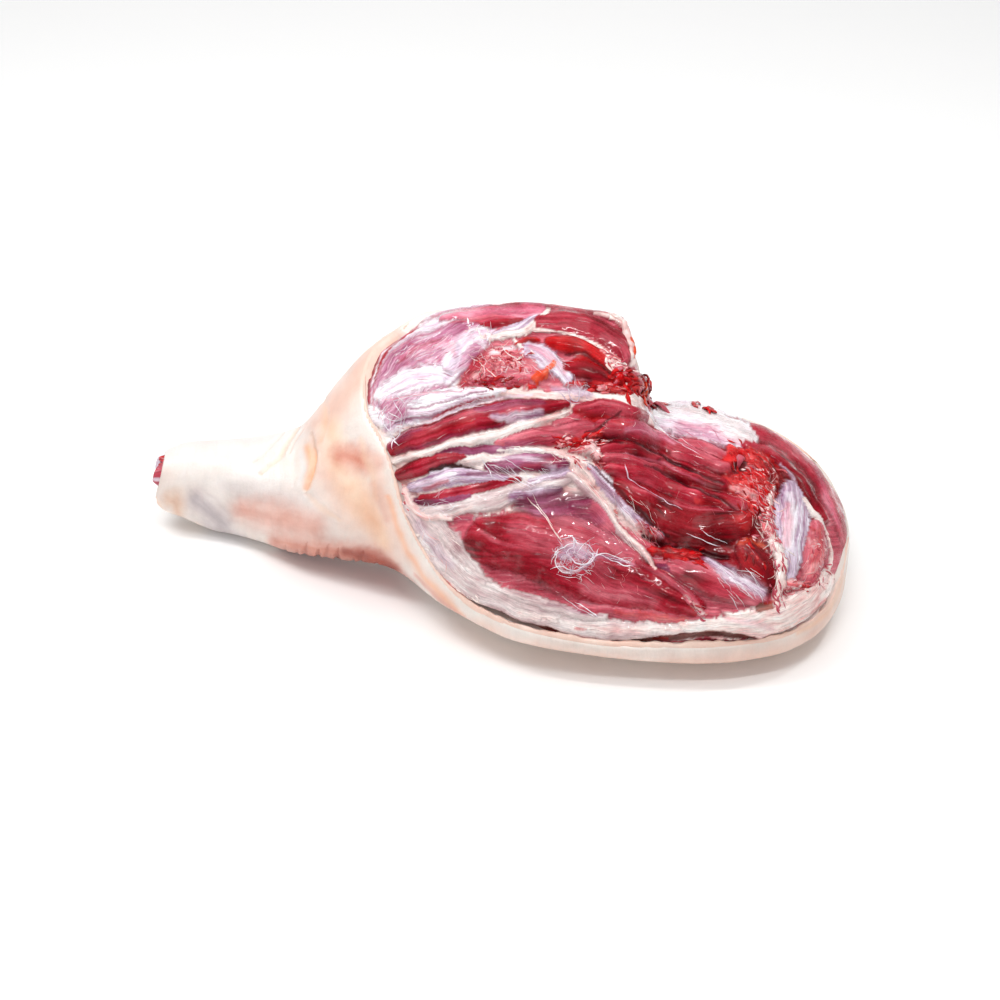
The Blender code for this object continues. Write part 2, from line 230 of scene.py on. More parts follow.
@dataclass(frozen=True)
class Finish:
    """How one kind of tissue looks: three tones, its veins, its streaks, lines and edges.

    Film is its share of fine pale lines and threads its share of fine dark ones. Ragged is
    how far its outline is torn, shade how much painted shade darkens its edges where they
    dip into the seams, and swell how round it bulges.
    """

    dark: Colour
    main: Colour
    light: Colour
    vein: Colour
    vein_share: float = 0.0
    streak: float = 0.6
    patch: float = 0.5
    length: float = 26.0
    width: float = 1.8
    ridge: float = 0.25
    rough: float = 0.0
    wet: float = 0.30
    film: float = 0.45
    threads: float = 0.0
    ragged: float = 0.05
    shade: float = 0.34
    swell: float = 0.9

    def traits(self) -> Array:
        """What the material reads beside the colour: streak, film, threads and wetness."""
        return np.array([self.streak, self.film, self.threads, self.wet])

    def colour(self, along: Array, across: Array, x: Array, height: Array) -> Array:
        """The tissue's colour at each point.

        The tone is the sum of long streaks along the fibres and of wide patches. Veins lie
        where a second set of streaks is at its highest.

        Args:
            along: length along the fibres.
            across: distance from the middle fibre.
            x: length along the leg.
            height: height on the butcher's plane.

        Returns:
            Red, green and blue on the last axis.
        """
        streaks = NOISE.layered(along / self.length, across / self.width, octaves=3)
        patches = NOISE.layered(x / 19.0, height / 19.0, octaves=3)
        tone = np.clip(0.5 + 0.5 * (streaks * self.streak + patches * self.patch), 0.0, 1.0)[..., None]
        dark, main, light = (np.array(part) for part in (self.dark, self.main, self.light))
        colour = np.where(tone < 0.5, blend(dark, main, tone * 2.0), blend(main, light, tone * 2.0 - 1.0))
        lines = NOISE.layered(along / (self.length * 0.8) + 40.0, across / (self.width * 0.8), octaves=3)
        veins = smooth_step((lines - 1.0 + 1.6 * self.vein_share) / 0.35)[..., None]
        return blend(colour, np.array(self.vein), veins * min(1.0, self.vein_share * 4.0))

    def relief(self, along: Array, across: Array, x: Array, height: Array) -> Array:
        """Fine relief in millimetres: ridges along the fibres and crags where it is torn."""
        ridges = NOISE.layered(along / self.length + 9.0, across / self.width, octaves=3)
        crags = np.abs(NOISE.layered(x / 6.0, height / 5.0, octaves=4))
        return self.ridge * ridges + self.rough * (0.5 - crags * 1.6)


def finish(tones: str, **traits: float) -> Finish:
    """A finish from its dark, main, light and vein tones, each as it looks on a screen."""
    return Finish(*(from_screen(*tone) for tone in path_of(tones)), **traits)


class Tissue(Enum):
    """The kinds of tissue that show. The first seven are lean meat."""

    DEEP = finish("62 0 4,128 0 16,166 22 38,200 96 108", vein_share=0.05, film=0.22)
    RED = finish("92 0 10,160 14 36,204 70 88,232 150 160", vein_share=0.08, film=0.34)
    BRIGHT = finish("92 0 0,172 0 8,224 38 42,238 140 138", vein_share=0.08, streak=0.7, film=0.35)
    PINK = finish("168 58 84,216 114 138,246 182 198,248 216 224", vein_share=0.18, film=0.6)
    ROSE = finish("146 34 50,194 80 96,228 132 144,240 190 198", vein_share=0.08)
    PURPLE = finish("86 16 44,130 42 74,180 106 140,220 186 208", vein_share=0.12, film=0.5)
    BROWN = finish("114 12 26,172 40 58,212 98 112,234 170 176", vein_share=0.08, length=34)
    SILVER = finish("214 166 192,248 240 247,255 254 255,196 108 142",
        vein_share=0.08, length=60, width=1.6, wet=0.24, film=0.3, threads=0.62, ragged=0.16, shade=0.08,
        swell=0.6)
    SHEEN = finish("136 78 120,208 182 204,246 240 250,252 249 254",
        vein_share=0.18, streak=0.85, width=1.5, wet=0.2, film=0.7, threads=0.75, ragged=0.16, shade=0.12,
        swell=0.6)
    MOTTLED = finish("160 66 106,204 138 166,240 220 234,252 246 252",
        vein_share=0.26, patch=0.7, length=9, width=1.7, wet=0.18, film=0.9, threads=0.8, ragged=0.1,
        shade=0.12, swell=0.8)
    TORN = finish("162 24 36,226 112 118,252 216 214,253 243 242",
        vein_share=0.22, patch=1, length=8, width=2, ridge=0.5, rough=1.4, film=0.9, threads=0.6, ragged=0.3,
        shade=0.2, swell=0.7)
    TORN_RED = finish("84 0 4,172 8 18,226 70 70,250 190 186",
        vein_share=0.14, patch=1, length=9, width=2, ridge=0.5, rough=1.8, wet=0.2, film=0.5, threads=0.4,
        ragged=0.4, shade=0.3, swell=0.7)
    FAT = finish("230 160 158,249 228 222,255 250 247,210 84 90",
        vein_share=0.08, length=12, width=2.2, ridge=0.4, rough=0.5, film=0.6, threads=0.4, ragged=0.2,
        shade=0.1, swell=0.5)
    SUET = finish("180 140 144,220 198 197,247 238 235,190 120 126",
        vein_share=0.1, length=14, width=2.2, ridge=0.4, rough=0.7, film=0.7, threads=0.4, ragged=0.12,
        shade=0.1, swell=0.55)
    BLOOD = finish("110 0 2,190 4 12,228 36 38,230 60 60",
        length=6, width=3, wet=0.12, film=0.2, ragged=0.4, swell=0.7)
    # painted shade: a near black red laid in grooves, crevices, slits and holes, where shadow falls
    GAP = finish("40 0 6,68 6 14,104 24 30,120 40 40", film=0, ragged=0.2)
    SLIT = finish("84 34 28,128 62 50,176 106 90,170 40 40", vein_share=0.1, film=0.2, ragged=0.2)
    ORANGE = finish("196 40 20,226 74 42,242 132 94,248 170 140",
        vein_share=0.1, wet=0.16, length=9, ragged=0.45, shade=0.1, swell=0.6)
    CARTILAGE = finish("176 140 168,218 196 212,248 240 246,220 120 130",
        vein_share=0.04, length=12, width=4, wet=0.16, shade=0.1, swell=0.8)
    RIND = finish("226 208 199,237 224 216,245 236 230,236 210 190",
        streak=0.25, length=30, width=9, ridge=0.1)
    RIND_WHITE = finish("229 222 218,236 231 228,241 237 235,246 230 220",
        streak=0.2, patch=0.4, length=30, width=9, ridge=0.06)
    RIND_CREAM = finish("230 186 168,241 205 189,249 224 211,246 214 190",
        streak=0.25, length=30, width=9, ridge=0.1)
    RIND_PEACH = finish("236 178 140,247 208 178,253 229 207,246 200 170",
        streak=0.3, patch=0.6, width=8, ridge=0.12)
    RIND_PINK = finish("196 106 84,216 139 117,236 182 165,230 180 170",
        streak=0.4, patch=0.6, length=24, width=4, ridge=0.1)
    RIND_BLUE = finish("170 158 164,200 188 191,226 218 217,200 180 180",
        patch=0.7, length=24, width=3.5, ridge=0.1)
    RIND_TAN = finish("214 168 140,230 194 172,242 220 204,220 190 170",
        streak=0.4, patch=0.6, length=18, width=5, ridge=0.1)
    RIND_ORANGE = finish("240 160 112,246 184 144,249 210 180,244 170 130",
        streak=0.3, length=20, width=6, ridge=0.08)
    RIND_SHADE = finish("128 38 22,166 62 38,200 106 78,210 130 110",
        streak=0.4, patch=0.6, length=20, width=5, ridge=0.12)


def smooth_line(points: list | Path) -> Array:
    """A Catmull-Rom curve through the points, in even steps from one to the next."""
    points = np.array(points, float)
    ends = np.concatenate([2 * points[:1] - points[1:2], points, 2 * points[-1:] - points[-2:-1]])
    t = np.linspace(0.0, 1.0, CURVE_STEPS, endpoint=False)[:, None]
    before, start, end, after = (ends[k : len(ends) - 3 + k, None] for k in range(4))
    curve = 0.5 * (
        2 * start + (end - before) * t
        + (2 * before - 5 * start + 4 * end - after) * t**2
        + (3 * start - before - 3 * end + after) * t**3
    )
    return np.concatenate([curve.reshape(-1, points.shape[1]), points[-1:]])


@dataclass(frozen=True)
class Stroke:
    """A muscle, seam, groove or tint: its path on the butcher's plane and its half widths.

    A height of 0 only tints what lies there. A height below 0 cuts a groove.
    """

    tissue: Tissue
    height: float
    path: Path
    half_widths: tuple[float, ...]
    strength: float = 1.0
    softness: float = 0.22

    LEAST = 0.3
    BEYOND = 9.0

    def fine_path(self) -> tuple[Array, Array]:
        """The path as a smooth curve, with its half widths."""
        curve = smooth_line([(*point, width) for point, width in zip(self.path, self.half_widths)])
        return curve[:, :2], np.maximum(curve[:, 2], self.LEAST)

    def trace(self, x: Array, height: Array) -> tuple[Array, Array, Array]:
        """Place of each point against the path.

        Args:
            x: length along the leg, one value to a point.
            height: height on the butcher's plane.

        Returns:
            Distance from the path as a share of its half width, length along the path and past
            its ends, and signed distance from its line, all from the closest stretch.
        """
        points, widths = self.fine_path()
        closest = np.full(x.shape, np.inf)
        share_out, along, across = np.full(x.shape, self.BEYOND), np.zeros(x.shape), np.zeros(x.shape)
        walked = 0.0
        for (x0, h0), (x1, h1), w0, w1 in zip(points[:-1], points[1:], widths[:-1], widths[1:]):
            span_x, span_h = x1 - x0, h1 - h0
            length = math.hypot(span_x, span_h)
            raw = ((x - x0) * span_x + (height - h0) * span_h) / length**2
            share = np.clip(raw, 0.0, 1.0)
            low = 0.0 if walked else -self.BEYOND
            high = self.BEYOND if (x1, h1) == tuple(points[-1]) else 1.0
            off_x, off_h = x - x0 - share * span_x, height - h0 - share * span_h
            distance = np.hypot(off_x, off_h)
            nearer = distance < closest
            closest = np.where(nearer, distance, closest)
            aside = (span_x * (height - h0) - span_h * (x - x0)) / length
            share_out = np.where(nearer, distance / (w0 + share * (w1 - w0)), share_out)
            along = np.where(nearer, walked + np.clip(raw, low, high) * length, along)
            across = np.where(nearer, aside, across)
            walked += length
        return share_out, along, across


def kind_of(text: str) -> tuple[Tissue | float, ...]:
    """A tissue, by its name, and the numbers after it."""
    name, *values = text.split()
    return Tissue[name], *map(float, values)


def strokes(table: str, family: str = "") -> list[Stroke]:
    """Strokes, each row a label, the tissue, height, strength and softness, and the path.

    A point is X, height and half width, which is left out where it stays the same. A label
    with a dash belongs to the stroke above it.

    Args:
        table: the rows.
        family: what the names of all tissues in the table start with.

    Returns:
        The strokes, in the order in which they are laid on.
    """
    made = []
    for _, head, path in table_rows(table):
        tissue, height, *rest = kind_of(family + head)
        points = path_of(path)
        widths = itertools.accumulate(points, lambda last, point: (point if point[2:] else last))
        widths = tuple(point[2] for point in widths)
        made.append(Stroke(tissue, height, tuple(point[:2] for point in points), widths, *rest))
    return made


# ---- the body
def row_interp(wanted: Array, lengths: Array, values: Array) -> Array:
    """Linear interpolation row by row.

    Args:
        wanted: rows of places.
        lengths: rows of rising places.
        values: rows of values at those places.

    Returns:
        Rows of values at the wanted places.
    """
    index = (lengths[:, :, None] <= wanted[:, None, :]).sum(axis=1) - 1
    index = np.clip(index, 0, lengths.shape[1] - 2)
    start, end = (np.take_along_axis(lengths, index + k, axis=1) for k in (0, 1))
    low, high = (np.take_along_axis(values, index + k, axis=1) for k in (0, 1))
    return low + (high - low) * (wanted - start) / np.maximum(end - start, 1e-9)


def through(knots_x: Array, knots_y: Array, x: Array) -> Array:
    """A smooth line through the knots that makes no bump between two of them.

    The slope at an inner knot is the harmonic mean of the slopes on its two sides, or none
    where the line turns, and each stretch is a cubic between its two ends.

    Args:
        knots_x: places of the knots.
        knots_y: values at the knots.
        x: wanted places.

    Returns:
        The line's values.
    """
    slopes = np.diff(knots_y) / np.diff(knots_x)
    left, right = slopes[:-1], slopes[1:]
    rising = left * right > 0
    inner = np.where(rising, 2.0 * left * right / np.where(rising, left + right, 1.0), 0.0)
    tangents = np.concatenate([slopes[:1], inner, slopes[-1:]])
    x = np.clip(x, knots_x[0], knots_x[-1])
    span = np.clip(np.searchsorted(knots_x, x) - 1, 0, len(knots_x) - 2)
    width = knots_x[span + 1] - knots_x[span]
    t = (x - knots_x[span]) / width
    rise = knots_y[span] * (2 * t**3 - 3 * t**2 + 1) + knots_y[span + 1] * (3 * t**2 - 2 * t**3)
    return rise + width * (tangents[span] * (t**3 - 2 * t**2 + t) + tangents[span + 1] * (t**3 - t**2))


def body_points(places: Array, rounds: Array) -> Array:
    """The plain body: each cross-section is four superellipse quarters, even by length.

    Args:
        places: X of every cross-section.
        rounds: how far round each point lies, from 0 to 1.

    Returns:
        Cross-sections by points by XYZ, in millimetres.
    """
    knots = np.array([astuple(section)[1:] for section in SECTIONS], float).T
    near, far, crest_y, crest_z, waist, foot, power = (
        through(knots[0], row, places)[:, None] for row in knots[1:])
    near_width, far_width = crest_y - near, far - crest_y
    top, low = crest_z - waist, waist - foot + REST_DEPTH
    quarters = (
        (near_width, low, UNDER_NEAR_POWER, -1, -1, True),
        (near_width, top, power, -1, 1, False),
        (far_width, top, OVER_FAR_POWER, 1, 1, True),
        (far_width, low, UNDER_FAR_POWER, 1, -1, False),
    )
    points = np.empty((len(places), len(rounds), 3))
    points[:, :, 0] = places[:, None]
    angles = np.linspace(0.0, math.pi / 2, QUARTER_STEPS)[None, :]
    for index, (width, rise, bend, side, up, from_pole) in enumerate(quarters):
        cosine, sine = np.cos(angles).clip(0.0) ** (2.0 / bend), np.sin(angles) ** (2.0 / bend)
        across, along = (sine, cosine) if from_pole else (cosine, sine)
        curve_y = crest_y + side * width * across
        curve_z = waist + up * rise * along
        steps = np.hypot(np.diff(curve_y, axis=1), np.diff(curve_z, axis=1))
        lengths = np.concatenate([np.zeros((len(places), 1)), np.cumsum(steps, axis=1)], axis=1)
        start, end = QUARTER_STARTS[index], QUARTER_STARTS[index + 1]
        here = (rounds >= start) & (rounds < end)
        wanted = (rounds[here] - start)[None, :] / (end - start) * lengths[:, -1:]
        points[:, here, 1] = row_interp(wanted, lengths, curve_y)
        points[:, here, 2] = row_interp(wanted, lengths, curve_z)
    points[:, :, 2] = np.maximum(points[:, :, 2], 0.0)
    return points


def far_edge(x: Array) -> Array:
    """How far round the skin's edge lies on the far side: high at the knee, low at the rump."""
    knee, rump = smooth_step((-24.0 - x) / 50.0), smooth_step((x - 100.0) / 40.0)
    return FAR_EDGE - KNEE_EDGE_RISE * knee + FAR_EDGE_DROP * rump


def plane_height(points: Array) -> Array:
    """Height of points on the butcher's plane."""
    return points[..., 1] * math.sin(PLANE_TILT) + points[..., 2] * math.cos(PLANE_TILT)


def settled(points: Array, places: Array) -> Array:
    """The body with its face evened out along the leg below the dome's brink.

    Each point becomes the mean of those at the same place on the other cross-sections,
    weighted by a bell curve over the length between them.

    Args:
        points: cross-sections by points by XYZ.
        places: X of every cross-section.

    Returns:
        The points, evened where the dome ends and unchanged elsewhere.
    """
    bell = np.exp(-(((places[:, None] - places[None, :]) / SETTLE_REACH) ** 2)) * np.gradient(places)[None, :]
    mean = np.einsum("ij,jkc->ikc", bell / bell.sum(axis=1, keepdims=True), points)
    mean[:, :, 0] = points[:, :, 0]
    start, end, top = SETTLE_START, SETTLE_END, SETTLE_TOP
    share = smooth_step((points[..., 0] - start) / 20.0) * smooth_step((end - points[..., 0]) / 26.0)
    share = share * smooth_step((top - plane_height(points)) / 14.0)
    return blend(points, mean, share[..., None])


def grid_normals(points: Array) -> Array:
    """Outward normals of a closed grid, from the steps round it and along it."""
    around = np.roll(points, -1, axis=1) - np.roll(points, 1, axis=1)
    along = np.gradient(points, axis=0)
    normals = np.cross(along, around)
    return normals / (np.linalg.norm(normals, axis=2, keepdims=True) + 1e-9)


def lean_back(points: Array) -> Array:
    """The points with the hock's cut leaning back, which shortens the shank towards its top."""
    lean = smooth_step((HOCK_LEAN_START - points[..., 0]) / (HALF_LENGTH + HOCK_LEAN_START))
    leaned = points.copy()
    leaned[..., 0] += lean * (HOCK_BULGE + HOCK_SLANT * (points[..., 2] - HOCK_CENTRE_Z))
    return leaned


class Surface:
    """The body as a closed grid of points, with the butcher's plane laid over it."""

    def __init__(self, places: Array, rounds: Array) -> None:
        """Work out the grid.

        Args:
            places: X of every cross-section, rising.
            rounds: how far round each point lies, rising from 0 to below 1.
        """
        self.places = places
        self.rounds = rounds
        self.points = settled(body_points(places, rounds), places)
        self.normals = grid_normals(self.points)
        self.x = self.points[:, :, 0]
        self.height = self.plane_height()
        self.far_side = (far_edge(self.x) - rounds[None, :]) * FAR_SPREAD

    def plane_height(self) -> Array:
        """Height on the butcher's plane, unrolled past the crest and under the near rim."""
        y, z = self.points[:, :, 1], self.points[:, :, 2]
        height = plane_height(self.points)
        steps = np.hypot(np.diff(y, axis=1), np.diff(z, axis=1))
        walked = np.concatenate([np.zeros((len(y), 1)), np.cumsum(steps, axis=1)], axis=1)
        spacing = np.gradient(self.rounds)[None, :]
        near_only = np.where(self.rounds[None, :] < QUARTER_STARTS[2], height, height.max())
        turns = []
        for field_, sharpness in ((height, TURN_SHARPNESS), (near_only, -TURN_SHARPNESS)):
            weights = field_ * sharpness
            weights = np.exp(weights - weights.max(axis=1, keepdims=True)) * spacing
            turns.append((walked * weights).sum(axis=1, keepdims=True) / weights.sum(axis=1, keepdims=True))
        top, low = turns
        highest, lowest = height.max(axis=1, keepdims=True), near_only.min(axis=1, keepdims=True)
        height = np.where(walked > top, highest + walked - top, height)
        return np.where(walked < low, lowest - low + walked, height)

    def inside_skin_edge(self) -> Array:
        """Distance inside the skin's cut edge: above 0 on the meat, below 0 on the skin."""
        x, height = self.x.ravel(), self.height.ravel()
        away, _, _ = Stroke(Tissue.FAT, 0.0, SKIN_EDGE, (1.0,) * len(SKIN_EDGE)).trace(x, height)
        line = smooth_line(SKIN_EDGE)
        corners = np.concatenate([line, [[HALF_LENGTH + 1.0, 1000.0], [line[0, 0], 1000.0]]])
        crossings = np.zeros(x.shape, int)
        for (x0, h0), (x1, h1) in zip(corners, np.roll(corners, -1, axis=0)):
            spans = (h0 > height) != (h1 > height)
            crossings += spans & (x < x0 + (height - h0) * (x1 - x0) / np.where(spans, h1 - h0, 1.0))
        signed = np.where(crossings % 2 == 1, away, -away).reshape(self.x.shape)
        return np.minimum(signed, self.far_side)

    def find(self, x: Array, height: Array) -> tuple[Array, Array]:
        """Grid places of points on the butcher's plane.

        Args:
            x: lengths along the leg.
            height: heights on the plane.

        Returns:
            The ring and the column of each point, with their fractions.
        """
        ring = np.interp(x, self.places, np.arange(len(self.places)))
        lower = np.minimum(ring.astype(int), len(self.places) - 2)
        columns = self.height.shape[1]
        count = np.broadcast_to(np.arange(columns, dtype=float), (len(ring), columns))
        first, second = (row_interp(height[:, None], self.height[row], count)[:, 0]
                         for row in (lower, lower + 1))
        return ring, blend(first, second, ring - lower)


def sample(field_: Array, ring: Array, column: Array) -> Array:
    """Values of a field over the grid between its points, by the four around each place."""
    i = np.clip(np.floor(ring).astype(int), 0, field_.shape[0] - 2)
    j = np.clip(np.floor(column).astype(int), 0, field_.shape[1] - 2)
    s, t = np.clip(ring - i, 0, 1), np.clip(column - j, 0, 1)
    if field_.ndim == 3:
        s, t = s[:, None], t[:, None]
    top = blend(field_[i, j], field_[i, j + 1], t)
    return blend(top, blend(field_[i + 1, j], field_[i + 1, j + 1], t), s)


# ---- meshes
class Batch:
    """Closed lofts gathered into one mesh."""

    def __init__(self) -> None:
        """Start with nothing."""
        self.points: list[Array] = []
        self.faces: list = []
        self.fields: dict[str, list[Array]] = {}
        self.count = 0

    def add(self, points: Array, fields: dict[str, Array]) -> None:
        """Add a grid closed round its columns, with a point and a fan of triangles at each end.

        Args:
            points: rings by columns by XYZ, in millimetres.
            fields: values over the same grid.
        """
        rings, columns = points.shape[:2]
        i, j = np.meshgrid(np.arange(rings - 1), np.arange(columns), indexing="ij")
        after = (j + 1) % columns
        quads = [i * columns + j, (i + 1) * columns + j, (i + 1) * columns + after, i * columns + after]
        start, last = rings * columns, (rings - 1) * columns
        j, after, pole = j[0], after[0], np.full(columns, start)
        fans = [j, after, pole], [last + after, last + j, pole + 1]
        for corners in (quads, *fans):
            self.faces += (np.stack(corners, -1).reshape(-1, len(corners)) + self.count).tolist()
        self.points += [points.reshape(-1, 3), points[:1].mean(axis=1), points[-1:].mean(axis=1)]
        self.count += start + 2
        for label, values in fields.items():
            flat = values.reshape(-1, 3)
            self.fields.setdefault(label, []).extend([flat, flat[:1], flat[-1:]])

    def build(self, name: str, material: Material) -> None:
        """Make a smooth mesh piece at the origin, riding on the leg.

        Args:
            name: the piece's name.
            material: its finish.
        """
        points = np.concatenate(self.points)
        mesh = bpy.data.meshes.new(name)
        mesh.from_pydata(((points + CENTRING) * MM).tolist(), [], self.faces)
        mesh.polygons.foreach_set("use_smooth", np.ones(len(mesh.polygons), dtype=bool))
        for label, parts in self.fields.items():
            values = np.concatenate(parts).astype(np.float32)
            if label == "paint":
                values = np.concatenate([values, np.ones_like(values[:, :1])], axis=1)
                attribute, kind = mesh.color_attributes.new(label, "FLOAT_COLOR", "POINT"), "color"
            else:
                attribute, kind = mesh.attributes.new(label, "FLOAT_VECTOR", "POINT"), "vector"
            attribute.data.foreach_set(kind, values.ravel())
        mesh.materials.append(material)
        mesh.update()
        piece = bpy.data.objects.new(name, mesh)
        bpy.context.scene.collection.objects.link(piece)
        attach(piece, BODY)
        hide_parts(NODE)
        LOG.info("%s: %d points, %d faces", name, len(points), len(self.faces))


def loft_piece(name: str, points: Array, fields: dict[str, Array], material: Material) -> None:
    """A piece of one closed loft."""
    loft = Batch()
    loft.add(points, fields)
    loft.build(name, material)
